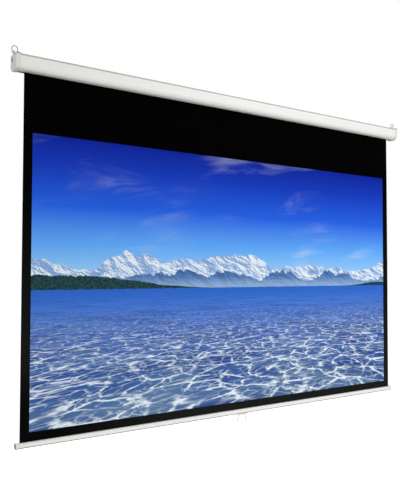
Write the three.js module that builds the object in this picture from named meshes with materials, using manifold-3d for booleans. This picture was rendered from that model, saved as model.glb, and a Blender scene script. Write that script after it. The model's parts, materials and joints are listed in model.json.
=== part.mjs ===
// A pull-down projector screen with a 100-inch wide picture, drawn all the way down.
// Millimetres, +Z up. The origin is the centre of the case's flat back, on the wall.
// +X runs along the case, to the right for someone who looks at the picture, and +Y into the wall.

import * as THREE from 'three';
import { mergeVertices } from 'three/addons/utils/BufferGeometryUtils.js';
import Module from 'manifold-3d';

const wasm = await Module();
wasm.setup();

// Cloth: a black backing with a white coating where the picture falls
const PICTURE_WIDTH = 2214;
const PICTURE_HEIGHT = 1245;
const SIDE_BORDER = 40;
const BLACK_DROP = 248;
const BOTTOM_BORDER = 38;
const BACKING_THICKNESS = 0.25;
const COATING_THICKNESS = 0.12;
const BOND_LINE = 0.03;
const DEAD_WRAPS = 2;

// Clearances that many pieces share
const SEAT_GAP = 0.3;
const CUT_OVERRUN = 2;

// Case: one aluminium extrusion, open along its underside
const CASE_DEPTH = 73;
const CASE_HEIGHT = 67;
const CASE_WALL = 1.5;
const CASE_LOWER_RADIUS = 27;
const REBATE_HEIGHT = 7.5;
const REBATE_DEPTH = 2.5;
const SLOT_WIDTH = 14;
const LEFT_ROOM = 38;
const RIGHT_ROOM = 48;
const PORT_BORE_RADIUS = 1.7;
const PORT_WALL = 1.9;
const PORT_SINK = 0.8;

// End caps, with an ear that carries a hanging loop
const CAP_PLATE = 4.5;
const CAP_RIM_WALL = 1.5;
const CAP_RIM_DEPTH = 13;
const CAP_RIM_SETBACK = 4;
const EAR_HEIGHT = 18;
const EAR_FOOT_WIDTH = 28;
const EAR_TOP_RADIUS = 8;
const EAR_HOLE_RADIUS = 2.1;
const EAR_HOLE_HEIGHT = 8.2;
const RECESS_RADIUS = 9.5;
const RECESS_DEPTH = 2.5;
const RECESS_FROM_BACK = 16.5;
const RECESS_FROM_TOP = 18.5;

// End brackets and the screws that clamp cap, bracket and case together
const BRACKET_THICKNESS = 2.5;
const CAP_SCREW_HEAD_RADIUS = 3.4;
const CAP_SCREW_HEAD_HEIGHT = 2;
const CAP_SCREW_SHANK_RADIUS = 1.4;
const CAP_SCREW_GRIP = 12;

// Hanging loops of round wire
const LOOP_WIRE_RADIUS = 1.5;
const LOOP_WIDTH = 23;
const LOOP_HEIGHT = 29;
const LOOP_CORNER = 3;
const LOOP_SLIDE = 3;

// Roller
const TUBE_RADIUS = 15;
const TUBE_WALL = 1.2;
const TUBE_OVERHANG = 2;
const ROLL_CLEARANCE = 1;
const PLUG_LENGTH = 25;
const PLUG_FLANGE = 3;
const IDLE_NECK_RADIUS = 8;
const IDLE_PIN_RADIUS = 4;
const IDLE_END_PLAY = 1;
const BUSH_WALL = 3.2;
const BUSH_FLANGE_WIDTH = 3.3;
const BUSH_FLANGE_THICKNESS = 2;

// Spring motor and ratchet lock in the right end of the roller
const SHAFT_RADIUS = 3;
const SHAFT_TAIL = 6;
const BLADE_THICKNESS = 2.4;
const BLADE_HEIGHT = 8;
const LOCK_FLANGE = 5;
const RATCHET_RADIUS = 7;
const RATCHET_ROOT = 5;
const PAWL_PIVOT_RADIUS = 11;
const PAWL_WIDTH = 5;
const PAWL_THICKNESS = 3;
const PAWL_NOSE_GAP = 0.6;
const PAWL_PIN_RADIUS = 1.2;
const PAWL_HOLE_GAP = 0.4;
const PAWL_PIN_DEPTH = 3.5;
const PAWL_PIN_HEAD = 0.9;
const PAWL_PIN_HEAD_HEIGHT = 0.8;
const SPRING_LENGTH = 400;
const SPRING_RADIUS = 7;
const SPRING_WIRE_RADIUS = 1;
const SPRING_TURNS = 24;
const ANCHOR_RADIUS = 9;
const ANCHOR_LENGTH = 14;
const SUPPORT_LENGTH = 8;

// Bottom bar, with the hem of the cloth held in a channel by a rod
const BAR_HEIGHT = 23;
const BAR_DEPTH = 22;
const BAR_WALL = 1.6;
const BAR_CORNER = 5.5;
const BAR_OVERHANG = 1;
const BAR_STOP_GAP = 3;
const CHANNEL_RADIUS = 4;
const CHANNEL_MOUTH = 3;
const HEM_WALL = 0.9;
const HEM_NECK = 1.2;
const BAR_CAP_LENGTH = 17.7;
const BAR_CAP_PROUD = 0.5;
const BAR_CAP_EDGE = 3;
const BAR_CAP_SPIGOT = 20;
const SMALL_SCREW_HEAD_RADIUS = 2.8;
const SMALL_SCREW_HEAD_HEIGHT = 1.5;
const SMALL_SCREW_SHANK_RADIUS = 1.3;
const SMALL_SCREW_LENGTH = 7;

// Pull handle: a ring that swings in a bracket under the bar
const HANDLE_RADIUS = 2.5;
const HANDLE_TOP_WIDTH = 44;
const HANDLE_BOTTOM_WIDTH = 60;
const HANDLE_DROP = 36.5;
const HANDLE_CORNER = 8;
const HANDLE_PLATE_LENGTH = 72;
const HANDLE_PLATE_DEPTH = 15;
const HANDLE_PLATE = 2;
const LUG_WALL = 1.8;
const LUG_LENGTH = 8;
const LUG_SPACING = 23;
const HANDLE_SCREW_SPACING = 62;

// Steps that stand for round shapes
const ARC_STEPS = 4;
const ROUND_SIDES = 24;
const SMALL_SIDES = 12;
const WIRE_SIDES = 8;
const SPRING_STEPS = 8;
const SPRING_SIDES = 5;

// Places that follow from the sizes above
const clothWidth = PICTURE_WIDTH + 2 * SIDE_BORDER;
const clothThickness = BACKING_THICKNESS + BOND_LINE + COATING_THICKNESS;
const clothX = (LEFT_ROOM - RIGHT_ROOM) / 2;
const caseHalf = (clothWidth + LEFT_ROOM + RIGHT_ROOM) / 2;
const caseTop = CASE_HEIGHT / 2;
const caseBottom = -CASE_HEIGHT / 2;
const barTop = caseBottom - BLACK_DROP - PICTURE_HEIGHT - BOTTOM_BORDER;
const woundLength = caseBottom - barTop - BAR_STOP_GAP;
const fullRollRadius = Math.hypot(TUBE_RADIUS, Math.sqrt((woundLength * clothThickness) / Math.PI));
const wrapRadius = TUBE_RADIUS + SEAT_GAP + DEAD_WRAPS * clothThickness;
const rollerY = -CASE_DEPTH + CASE_WALL + ROLL_CLEARANCE + fullRollRadius;
const clothFrontY = rollerY + wrapRadius + SEAT_GAP;
const clothY = clothFrontY + clothThickness / 2;
const bracketInner = caseHalf + SEAT_GAP;
const bracketOuter = bracketInner + BRACKET_THICKNESS;
const capInner = bracketOuter + SEAT_GAP;
const capOuter = capInner + CAP_PLATE;
const capGrow = SEAT_GAP + CAP_RIM_WALL;
const portRadius = PORT_BORE_RADIUS + PORT_WALL;
const plugRadius = TUBE_RADIUS - TUBE_WALL - SEAT_GAP;
const tubeHalf = clothWidth / 2 + TUBE_OVERHANG;
const lockFace = tubeHalf + SEAT_GAP + LOCK_FLANGE;
const springEnd = tubeHalf - PLUG_LENGTH - SEAT_GAP;
const springStart = springEnd - SPRING_LENGTH;
const shaftBore = SHAFT_RADIUS + SEAT_GAP;
const channelZ = -BAR_WALL - CHANNEL_RADIUS;
const chamberTop = channelZ - CHANNEL_RADIUS - BAR_WALL;
const barHalf = clothWidth / 2 + BAR_OVERHANG;
const handleX = -clothX;
const handleBore = HANDLE_RADIUS + SEAT_GAP;
const handleAxisZ = -BAR_HEIGHT - SEAT_GAP - HANDLE_PLATE - handleBore;
const SIDES = [['left', -1], ['right', 1]];

// Materials
function finish(color, roughness, metalness) {
  return new THREE.MeshStandardMaterial({ color, roughness, metalness });
}

const casePaint = finish(0xe6e6e2, 0.45, 0.2);
const capPlastic = finish(0xc4c6ba, 0.55, 0);
const bracketPaint = finish(0xe2e2de, 0.5, 0.2);
const barCapPlastic = finish(0xd7d7cd, 0.5, 0);
const handlePlastic = finish(0xdadad6, 0.4, 0);
const blackCloth = finish(0x0a0a0c, 0.9, 0);
const pictureCoating = finish(0x5f93d0, 0.8, 0);
const wireSteel = finish(0x8f908c, 0.35, 0.9);
const platedSteel = finish(0xa9abae, 0.4, 0.85);
const rollerAluminium = finish(0xc2c4c6, 0.4, 0.8);
const nylon = finish(0xf0ead8, 0.6, 0);

function fromTriangles(positions, index) {
  const geometry = new THREE.BufferGeometry();
  geometry.setAttribute('position', new THREE.Float32BufferAttribute(positions, 3));
  geometry.setIndex(index);
  geometry.computeVertexNormals();
  return geometry;
}

// Solids for cutting and joining, and back again
function toSolid(geometry) {
  const bare = geometry.clone();
  bare.deleteAttribute('normal');
  bare.deleteAttribute('uv');
  const merged = mergeVertices(bare);
  const vertProperties = new Float32Array(merged.attributes.position.array);
  const triVerts = new Uint32Array(merged.index.array);
  return new wasm.Manifold(new wasm.Mesh({ numProp: 3, vertProperties, triVerts }));
}

function toGeometry(solid) {
  const { vertProperties, triVerts } = solid.getMesh();
  return fromTriangles(Array.from(vertProperties), Array.from(triVerts));
}

function carve(body, joined, cut) {
  let solid = toSolid(body);
  for (const geometry of joined) solid = solid.add(toSolid(geometry));
  for (const geometry of cut) solid = solid.subtract(toSolid(geometry));
  return toGeometry(solid);
}

// A section drawn in Y and Z, extruded along X between two places
const sectionAcrossX = new THREE.Matrix4().makeBasis(
  new THREE.Vector3(0, 1, 0), new THREE.Vector3(0, 0, 1), new THREE.Vector3(1, 0, 0));

function alongX(section, oneEnd, otherEnd) {
  const depth = Math.abs(otherEnd - oneEnd);
  const options = { depth, bevelEnabled: false, curveSegments: ARC_STEPS };
  const geometry = new THREE.ExtrudeGeometry(section, options);
  geometry.applyMatrix4(sectionAcrossX);
  return geometry.translate(Math.min(oneEnd, otherEnd), 0, 0);
}

function circle(radius, y, z, sides) {
  const points = Array.from({ length: sides }, (_, i) => {
    const angle = (i / sides) * 2 * Math.PI;
    return new THREE.Vector2(y + radius * Math.cos(angle), z + radius * Math.sin(angle));
  });
  return new THREE.Shape(points);
}

function rodAlongX(radius, oneEnd, otherEnd, y, z, sides) {
  return alongX(circle(radius, y, z, sides), oneEnd, otherEnd);
}

function boxBetween(low, high) {
  const size = high.map((value, i) => value - low[i]);
  const middle = high.map((value, i) => (value + low[i]) / 2);
  return new THREE.BoxGeometry(...size).translate(...middle);
}

// A turned piece: pairs of radius and distance along its axis, which points along +X or -X
function turned(pairs, sides, direction) {
  const profile = pairs.map(([radius, along]) => new THREE.Vector2(radius, along));
  return new THREE.LatheGeometry(profile, sides).rotateZ((-direction * Math.PI) / 2);
}

// A washer or sleeve: the closed outline of its wall, turned about X
function sleeve(outline, sides) {
  return turned([...outline, outline[0]], sides, 1);
}

// A round wire bent into a flat closed loop in X and Z
function wireLoop(path, radius) {
  const points = path.getPoints(ARC_STEPS).slice(0, -1);
  const count = points.length;
  const positions = [];
  const index = [];
  points.forEach((point, i) => {
    const ahead = points[(i + 1) % count];
    const behind = points[(i + count - 1) % count];
    const tangent = ahead.clone().sub(behind).normalize();
    for (let k = 0; k < WIRE_SIDES; k += 1) {
      const angle = (k / WIRE_SIDES) * 2 * Math.PI;
      const outward = radius * Math.cos(angle);
      positions.push(point.x + tangent.y * outward, radius * Math.sin(angle), point.y - tangent.x * outward);
      const [a, b] = [i * WIRE_SIDES + k, i * WIRE_SIDES + ((k + 1) % WIRE_SIDES)];
      const [c, d] = [a, b].map((corner) => (corner + WIRE_SIDES) % (count * WIRE_SIDES));
      index.push(a, b, c, b, d, c);
    }
  });
  return fromTriangles(positions, index);
}

// A flat closed path through some corners, each of them rounded
function roundedPath(corners, radius) {
  const path = new THREE.Path();
  corners.forEach((corner, i) => {
    const before = corners[(i + corners.length - 1) % corners.length];
    const after = corners[(i + 1) % corners.length];
    const start = corner.clone().add(before.clone().sub(corner).setLength(radius));
    const end = corner.clone().add(after.clone().sub(corner).setLength(radius));
    if (i === 0) path.moveTo(start.x, start.y);
    else path.lineTo(start.x, start.y);
    path.quadraticCurveTo(corner.x, corner.y, end.x, end.y);
  });
  path.closePath();
  return path;
}

// Case section: upright front and back, and a deep round at each lower edge
function caseOutline(grow) {
  const [front, back] = [-CASE_DEPTH - grow, grow];
  const [bottom, top] = [caseBottom - grow, caseTop + grow];
  const radius = CASE_LOWER_RADIUS + grow;
  const outline = new THREE.Shape();
  outline.moveTo(front, top);
  outline.lineTo(front, bottom + radius);
  outline.absarc(front + radius, bottom + radius, radius, Math.PI, 1.5 * Math.PI, false);
  outline.absarc(back - radius, bottom + radius, radius, -0.5 * Math.PI, 0, false);
  outline.lineTo(back, top);
  outline.closePath();
  return outline;
}

// The two screw ports run the whole length of the case, in opposite corners
const portReach = portRadius - PORT_SINK;
const lowerPortShift = (CASE_LOWER_RADIUS - CASE_WALL - portReach) * Math.SQRT1_2;
const PORTS = [
  ['upper', -CASE_DEPTH + REBATE_DEPTH + CASE_WALL + portReach, caseTop - CASE_WALL - portReach],
  ['lower', -CASE_LOWER_RADIUS + lowerPortShift, caseBottom + CASE_LOWER_RADIUS - lowerPortShift],
];

function caseShell() {
  const past = caseHalf + CUT_OVERRUN;
  const rebateBlock = (wall) => boxBetween(
    [-past, -CASE_DEPTH - CUT_OVERRUN, caseTop - REBATE_HEIGHT - wall],
    [past, -CASE_DEPTH + REBATE_DEPTH + wall, caseTop + CUT_OVERRUN]);
  const hollow = carve(alongX(caseOutline(-CASE_WALL), -past, past), [], [rebateBlock(CASE_WALL)]);
  const slot = boxBetween(
    [-past, clothY - SLOT_WIDTH / 2, caseBottom - CUT_OVERRUN],
    [past, clothY + SLOT_WIDTH / 2, caseBottom + CASE_WALL + CUT_OVERRUN]);
  const shell = carve(alongX(caseOutline(0), -caseHalf, caseHalf), [], [hollow, slot, rebateBlock(0)]);
  const ports = PORTS.map(([, y, z]) => rodAlongX(portRadius, -caseHalf, caseHalf, y, z, SMALL_SIDES));
  const bores = PORTS.map(([, y, z]) => rodAlongX(PORT_BORE_RADIUS, -past, past, y, z, SMALL_SIDES));
  return carve(shell, ports, bores);
}

function earOutline() {
  const foot = caseTop;
  const arcZ = caseTop + capGrow + EAR_HEIGHT - EAR_TOP_RADIUS;
  const outline = new THREE.Shape();
  outline.moveTo(clothY - EAR_FOOT_WIDTH / 2, foot);
  outline.lineTo(clothY + EAR_FOOT_WIDTH / 2, foot);
  outline.absarc(clothY, arcZ, EAR_TOP_RADIUS, 0, Math.PI, false);
  outline.closePath();
  return outline;
}

const earHoleZ = caseTop + capGrow + EAR_HOLE_HEIGHT;
const earMiddle = (capInner + capOuter) / 2;

function screwHoles(reach) {
  const radius = CAP_SCREW_SHANK_RADIUS + SEAT_GAP;
  return PORTS.map(([, y, z]) => rodAlongX(radius, ...reach, y, z, SMALL_SIDES));
}

function endCap(side) {
  const rimEnd = capInner - CAP_RIM_DEPTH;
  const wholeRim = alongX(caseOutline(capGrow), side * rimEnd, side * capInner);
  const rimHollow = alongX(caseOutline(SEAT_GAP), side * (rimEnd - CUT_OVERRUN), side * capInner);
  const behindRim = boxBetween(
    [-capOuter, -CAP_RIM_SETBACK, caseBottom - CASE_HEIGHT],
    [capOuter, CASE_DEPTH, caseTop + CASE_HEIGHT]);
  const rim = carve(wholeRim, [], [rimHollow, behindRim]);
  const plate = alongX(caseOutline(capGrow), side * capInner, side * capOuter);
  const ear = alongX(earOutline(), side * capInner, side * capOuter);
  const behindWall = boxBetween(
    [-capOuter - CUT_OVERRUN, 0, caseBottom - CASE_HEIGHT],
    [capOuter + CUT_OVERRUN, CASE_DEPTH, caseTop + CASE_HEIGHT]);
  const reach = [side * (capInner - CUT_OVERRUN), side * (capOuter + CUT_OVERRUN)];
  const hole = rodAlongX(EAR_HOLE_RADIUS, ...reach, clothY, earHoleZ, SMALL_SIDES);
  const recess = rodAlongX(
    RECESS_RADIUS, side * (capOuter - RECESS_DEPTH), side * (capOuter + CUT_OVERRUN),
    -RECESS_FROM_BACK, caseTop - RECESS_FROM_TOP, ROUND_SIDES);
  return carve(plate, [rim, ear], [behindWall, hole, recess, ...screwHoles(reach)]);
}

function bracket(side) {
  const [low, high] = [side * bracketInner, side * bracketOuter].sort((a, b) => a - b);
  const reach = [low - CUT_OVERRUN, high + CUT_OVERRUN];
  const opening = side < 0
    ? rodAlongX(bushRadius + SEAT_GAP, ...reach, rollerY, 0, ROUND_SIDES)
    : boxBetween(
      [reach[0], rollerY - BLADE_THICKNESS / 2 - SEAT_GAP, -BLADE_HEIGHT / 2 - SEAT_GAP],
      [reach[1], rollerY + BLADE_THICKNESS / 2 + SEAT_GAP, BLADE_HEIGHT / 2 + SEAT_GAP]);
  return carve(alongX(caseOutline(0), low, high), [], [opening, ...screwHoles(reach)]);
}

// A pan-head screw whose head seats on a face at 0 and whose shank runs the other way
function screw(headRadius, headHeight, shankRadius, length, direction) {
  const pairs = [
    [0, -length], [shankRadius, -length], [shankRadius, 0], [headRadius, 0],
    [headRadius, headHeight / 2], [headRadius / 2, headHeight], [0, headHeight],
  ];
  return turned(pairs, SMALL_SIDES, direction);
}

// Bush in the left bracket
const bushBore = IDLE_PIN_RADIUS + SEAT_GAP;
const bushRadius = bushBore + BUSH_WALL;
const bushFlangeEnd = bracketInner - SEAT_GAP - BUSH_FLANGE_THICKNESS;

function bearingBush() {
  const seat = -bracketInner + SEAT_GAP;
  const flangeRadius = bushRadius + BUSH_FLANGE_WIDTH;
  return sleeve([
    [bushBore, -bushFlangeEnd], [bushBore, -bracketOuter], [bushRadius, -bracketOuter],
    [bushRadius, seat], [flangeRadius, seat], [flangeRadius, -bushFlangeEnd],
  ], ROUND_SIDES);
}

// Roller pieces, about the roller's own axis, with X counted from the middle of the cloth
function ringAlongX(inner, outer, low, high) {
  const ring = circle(outer, 0, 0, ROUND_SIDES);
  ring.holes.push(circle(inner, 0, 0, ROUND_SIDES));
  return alongX(ring, low, high);
}

function idlePlug() {
  const face = -tubeHalf - SEAT_GAP;
  const neckEnd = -(bushFlangeEnd + clothX) + IDLE_END_PLAY;
  return sleeve([
    [bushBore, -tubeHalf + PLUG_LENGTH], [bushBore, neckEnd], [IDLE_NECK_RADIUS, neckEnd],
    [IDLE_NECK_RADIUS, face - PLUG_FLANGE], [TUBE_RADIUS, face - PLUG_FLANGE], [TUBE_RADIUS, face],
    [plugRadius, face], [plugRadius, -tubeHalf + PLUG_LENGTH],
  ], ROUND_SIDES);
}

function idlePin() {
  return rodAlongX(IDLE_PIN_RADIUS, -(bracketOuter + clothX), -tubeHalf + PLUG_LENGTH, 0, 0, ROUND_SIDES);
}

const PAWLS = [['a', 0.5 * Math.PI], ['b', 1.5 * Math.PI]];
const PAWL_TAIL_ANGLE = 0.12 * Math.PI;
const PAWL_REACH_ANGLE = 0.34 * Math.PI;
const pawlHole = PAWL_PIN_RADIUS + PAWL_HOLE_GAP;

function onPawlCircle(radius, angle) {
  return [radius * Math.cos(angle), radius * Math.sin(angle)];
}

function lockPlug() {
  const face = tubeHalf + SEAT_GAP;
  const body = sleeve([
    [shaftBore, tubeHalf - PLUG_LENGTH], [plugRadius, tubeHalf - PLUG_LENGTH], [plugRadius, face],
    [TUBE_RADIUS, face], [TUBE_RADIUS, lockFace], [shaftBore, lockFace],
  ], ROUND_SIDES);
  const pinHoles = PAWLS.map(([, angle]) => rodAlongX(
    PAWL_PIN_RADIUS + SEAT_GAP, lockFace - PAWL_PIN_DEPTH - SEAT_GAP, lockFace + CUT_OVERRUN,
    ...onPawlCircle(PAWL_PIVOT_RADIUS, angle), SMALL_SIDES));
  return carve(body, [], pinHoles);
}

function pawlPin() {
  const tail = lockFace - PAWL_PIN_DEPTH;
  const seat = lockFace + 2 * SEAT_GAP + PAWL_THICKNESS;
  const headRadius = PAWL_PIN_RADIUS + PAWL_PIN_HEAD;
  return turned([
    [0, tail], [PAWL_PIN_RADIUS, tail], [PAWL_PIN_RADIUS, seat],
    [headRadius, seat], [headRadius, seat + PAWL_PIN_HEAD_HEIGHT], [0, seat + PAWL_PIN_HEAD_HEIGHT],
  ], SMALL_SIDES, 1);
}

// A pawl is a curved arm about the roller's axis, with a nose that points at the ratchet
function pawl(angle) {
  const [tail, tip] = [angle - PAWL_TAIL_ANGLE, angle + PAWL_REACH_ANGLE];
  const [inner, outer] = [PAWL_PIVOT_RADIUS - PAWL_WIDTH / 2, PAWL_PIVOT_RADIUS + PAWL_WIDTH / 2];
  const outline = new THREE.Shape();
  outline.moveTo(...onPawlCircle(inner, tail));
  outline.lineTo(...onPawlCircle(outer, tail));
  outline.absarc(0, 0, outer, tail, tip, false);
  outline.lineTo(...onPawlCircle(RATCHET_RADIUS + PAWL_NOSE_GAP, tip));
  outline.absarc(0, 0, inner, tip - PAWL_TAIL_ANGLE, tail, true);
  outline.holes.push(circle(pawlHole, ...onPawlCircle(PAWL_PIVOT_RADIUS, angle), SMALL_SIDES));
  return alongX(outline, lockFace + SEAT_GAP, lockFace + SEAT_GAP + PAWL_THICKNESS);
}

// The ratchet stands still on the shaft, with two notches for the pawls
function ratchetDisc() {
  const halfTurn = ROUND_SIDES / 2;
  const points = Array.from({ length: ROUND_SIDES }, (_, i) => {
    const radius = i % halfTurn < halfTurn / 4 ? RATCHET_ROOT : RATCHET_RADIUS;
    return new THREE.Vector2(...onPawlCircle(radius, (i / ROUND_SIDES) * 2 * Math.PI));
  });
  const outline = new THREE.Shape(points);
  outline.holes.push(circle(shaftBore, 0, 0, SMALL_SIDES));
  return alongX(outline, lockFace + SEAT_GAP, lockFace + SEAT_GAP + PAWL_THICKNESS);
}

const anchorStart = springStart - SEAT_GAP - ANCHOR_LENGTH;
const supportStart = anchorStart - SEAT_GAP - SUPPORT_LENGTH;

function springShaft() {
  const bladeStart = lockFace + PAWL_THICKNESS + SHAFT_TAIL;
  const bladeEnd = bracketOuter - clothX;
  const round = rodAlongX(SHAFT_RADIUS, supportStart - SHAFT_TAIL, bladeStart, 0, 0, SMALL_SIDES);
  const blade = boxBetween(
    [bladeStart - SHAFT_TAIL / 2, -BLADE_THICKNESS / 2, -BLADE_HEIGHT / 2],
    [bladeEnd, BLADE_THICKNESS / 2, BLADE_HEIGHT / 2]);
  return carve(round, [blade], []);
}

// The torsion spring is an open coil round the shaft, from the anchor to the lock plug
function torsionSpring() {
  const rings = SPRING_TURNS * SPRING_STEPS + 1;
  const climb = (SPRING_LENGTH - 2 * SPRING_WIRE_RADIUS) / (rings - 1);
  const turn = (2 * Math.PI) / SPRING_STEPS;
  const positions = [];
  const index = [];
  const centres = [];
  for (let i = 0; i < rings; i += 1) {
    const outward = new THREE.Vector3(0, Math.cos(i * turn), Math.sin(i * turn));
    const centre = outward.clone().multiplyScalar(SPRING_RADIUS);
    centre.x = springStart + SPRING_WIRE_RADIUS + i * climb;
    const round = SPRING_RADIUS * turn;
    const along = new THREE.Vector3(climb, -outward.z * round, outward.y * round);
    const across = along.normalize().cross(outward);
    centres.push(centre);
    for (let k = 0; k < SPRING_SIDES; k += 1) {
      const angle = (k / SPRING_SIDES) * 2 * Math.PI;
      const corner = centre.clone().addScaledVector(outward, SPRING_WIRE_RADIUS * Math.cos(angle));
      positions.push(...corner.addScaledVector(across, SPRING_WIRE_RADIUS * Math.sin(angle)).toArray());
      if (i + 1 < rings) {
        const [a, b] = [i * SPRING_SIDES + k, i * SPRING_SIDES + ((k + 1) % SPRING_SIDES)];
        index.push(a, b, a + SPRING_SIDES, b, b + SPRING_SIDES, a + SPRING_SIDES);
      }
    }
  }
  const last = (rings - 1) * SPRING_SIDES;
  for (let k = 1; k + 1 < SPRING_SIDES; k += 1) index.push(0, k + 1, k, last, last + k, last + k + 1);
  console.log(`least gap between turns of the spring: ${leastGap(centres).toFixed(1)} mm`);
  return fromTriangles(positions, index);
}

// The least distance between wire centres at least half a turn apart, less the wire itself
function leastGap(centres) {
  let least = Infinity;
  centres.forEach((centre, i) => {
    centres.slice(i + SPRING_STEPS / 2).forEach((other) => {
      least = Math.min(least, centre.distanceTo(other) - 2 * SPRING_WIRE_RADIUS);
    });
  });
  return least;
}

// Bottom bar pieces: Z is counted from the top of the bar, Y from the cloth
function roundedRectangle(width, low, high, radius) {
  const half = width / 2;
  const outline = new THREE.Shape();
  outline.absarc(half - radius, low + radius, radius, -0.5 * Math.PI, 0, false);
  outline.absarc(half - radius, high - radius, radius, 0, 0.5 * Math.PI, false);
  outline.absarc(radius - half, high - radius, radius, 0.5 * Math.PI, Math.PI, false);
  outline.absarc(radius - half, low + radius, radius, Math.PI, 1.5 * Math.PI, false);
  outline.closePath();
  return outline;
}

function chamberOutline(shrink) {
  const width = BAR_DEPTH - 2 * BAR_WALL - 2 * shrink;
  const [low, high] = [-BAR_HEIGHT + BAR_WALL + shrink, chamberTop - shrink];
  const radius = Math.min(BAR_CORNER - BAR_WALL, (high - low) / 3) - shrink;
  return roundedRectangle(width, low, high, radius);
}

const capScrewX = barHalf - BAR_CAP_SPIGOT / 2;
const handleScrewX = HANDLE_SCREW_SPACING / 2;
const chamberMiddle = (chamberTop - BAR_HEIGHT + BAR_WALL) / 2;
const smallHole = SMALL_SCREW_SHANK_RADIUS + SEAT_GAP;

function backHole(x) {
  const hole = new THREE.CylinderGeometry(smallHole, smallHole, BAR_DEPTH, SMALL_SIDES);
  return hole.translate(x, BAR_DEPTH / 2, chamberMiddle);
}

function floorHole(x) {
  const hole = new THREE.CylinderGeometry(smallHole, smallHole, BAR_HEIGHT / 2, SMALL_SIDES);
  return hole.rotateX(Math.PI / 2).translate(x, 0, -BAR_HEIGHT);
}

function bottomBar() {
  const past = barHalf + CUT_OVERRUN;
  const body = alongX(roundedRectangle(BAR_DEPTH, -BAR_HEIGHT, 0, BAR_CORNER), -barHalf, barHalf);
  const channel = rodAlongX(CHANNEL_RADIUS, -past, past, 0, channelZ, ROUND_SIDES);
  const mouth = boxBetween([-past, -CHANNEL_MOUTH / 2, channelZ], [past, CHANNEL_MOUTH / 2, CUT_OVERRUN]);
  const chamber = alongX(chamberOutline(0), -past, past);
  const holes = SIDES.flatMap(([, side]) => [backHole(side * capScrewX), floorHole(handleX + side * handleScrewX)]);
  return carve(body, [], [channel, mouth, chamber, ...holes]);
}

function fabricHem() {
  const half = clothWidth / 2;
  const past = half + CUT_OVERRUN;
  const outer = CHANNEL_RADIUS - SEAT_GAP;
  const loop = rodAlongX(outer, -half, half, 0, channelZ, ROUND_SIDES);
  const neck = boxBetween([-half, -HEM_NECK / 2, channelZ], [half, HEM_NECK / 2, 0]);
  const inside = rodAlongX(outer - HEM_WALL, -past, past, 0, channelZ, ROUND_SIDES);
  return carve(loop, [neck], [inside]);
}

function hemRod() {
  const half = clothWidth / 2;
  return rodAlongX(CHANNEL_RADIUS - HEM_WALL - 2 * SEAT_GAP, -half, half, 0, channelZ, SMALL_SIDES);
}

function barCap(side) {
  const [inner, outer] = [barHalf + SEAT_GAP, barHalf + SEAT_GAP + BAR_CAP_LENGTH];
  const grown = roundedRectangle(
    BAR_DEPTH + 2 * BAR_CAP_PROUD - 2 * BAR_CAP_EDGE, -BAR_HEIGHT - BAR_CAP_PROUD + BAR_CAP_EDGE,
    BAR_CAP_PROUD - BAR_CAP_EDGE, BAR_CORNER - BAR_CAP_EDGE);
  const block = new THREE.ExtrudeGeometry(grown, {
    depth: 2 * (BAR_CAP_LENGTH - BAR_CAP_EDGE), curveSegments: ARC_STEPS,
    bevelThickness: BAR_CAP_EDGE, bevelSize: BAR_CAP_EDGE, bevelSegments: ARC_STEPS,
  }).applyMatrix4(sectionAcrossX);
  block.translate(side < 0 ? -outer + BAR_CAP_EDGE : inner - BAR_CAP_LENGTH + BAR_CAP_EDGE, 0, 0);
  const reach = 2 * BAR_CAP_LENGTH;
  const innerHalf = boxBetween(
    [Math.min(side * inner, side * (inner - reach)), -BAR_DEPTH, -BAR_HEIGHT - BAR_DEPTH],
    [Math.max(side * inner, side * (inner - reach)), BAR_DEPTH, BAR_DEPTH]);
  const shell = carve(block, [], [innerHalf]);
  const spigotReach = [side * (barHalf - BAR_CAP_SPIGOT), side * (inner + BAR_CAP_EDGE)];
  const spigot = alongX(chamberOutline(SEAT_GAP), ...spigotReach);
  return carve(shell, [spigot], [backHole(side * capScrewX)]);
}

// Handle bracket: a plate under the bar, with two lugs for the ring. X is counted from its middle,
// which lies under the middle of the case
function handleBracket() {
  const plateTop = -BAR_HEIGHT - SEAT_GAP;
  const plate = boxBetween(
    [-HANDLE_PLATE_LENGTH / 2, -HANDLE_PLATE_DEPTH / 2, plateTop - HANDLE_PLATE],
    [HANDLE_PLATE_LENGTH / 2, HANDLE_PLATE_DEPTH / 2, plateTop]);
  const lugRadius = handleBore + LUG_WALL;
  const joined = [];
  const cut = [];
  for (const [, side] of SIDES) {
    const [low, high] = [(side * LUG_SPACING - LUG_LENGTH) / 2, (side * LUG_SPACING + LUG_LENGTH) / 2];
    joined.push(rodAlongX(lugRadius, low, high, 0, handleAxisZ, ROUND_SIDES));
    joined.push(boxBetween([low, -lugRadius, handleAxisZ], [high, lugRadius, plateTop - HANDLE_PLATE / 2]));
    cut.push(rodAlongX(handleBore, low - CUT_OVERRUN, high + CUT_OVERRUN, 0, handleAxisZ, ROUND_SIDES));
    cut.push(floorHole(side * handleScrewX));
  }
  return carve(plate, joined, cut);
}

// The ring's top bar is its axle: Z is counted from there
function pullHandle() {
  const [top, bottom] = [HANDLE_TOP_WIDTH / 2, HANDLE_BOTTOM_WIDTH / 2];
  const corners = [[-bottom, -HANDLE_DROP], [bottom, -HANDLE_DROP], [top, 0], [-top, 0]];
  const path = roundedPath(corners.map((pair) => new THREE.Vector2(...pair)), HANDLE_CORNER);
  return wireLoop(path, HANDLE_RADIUS);
}

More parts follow.
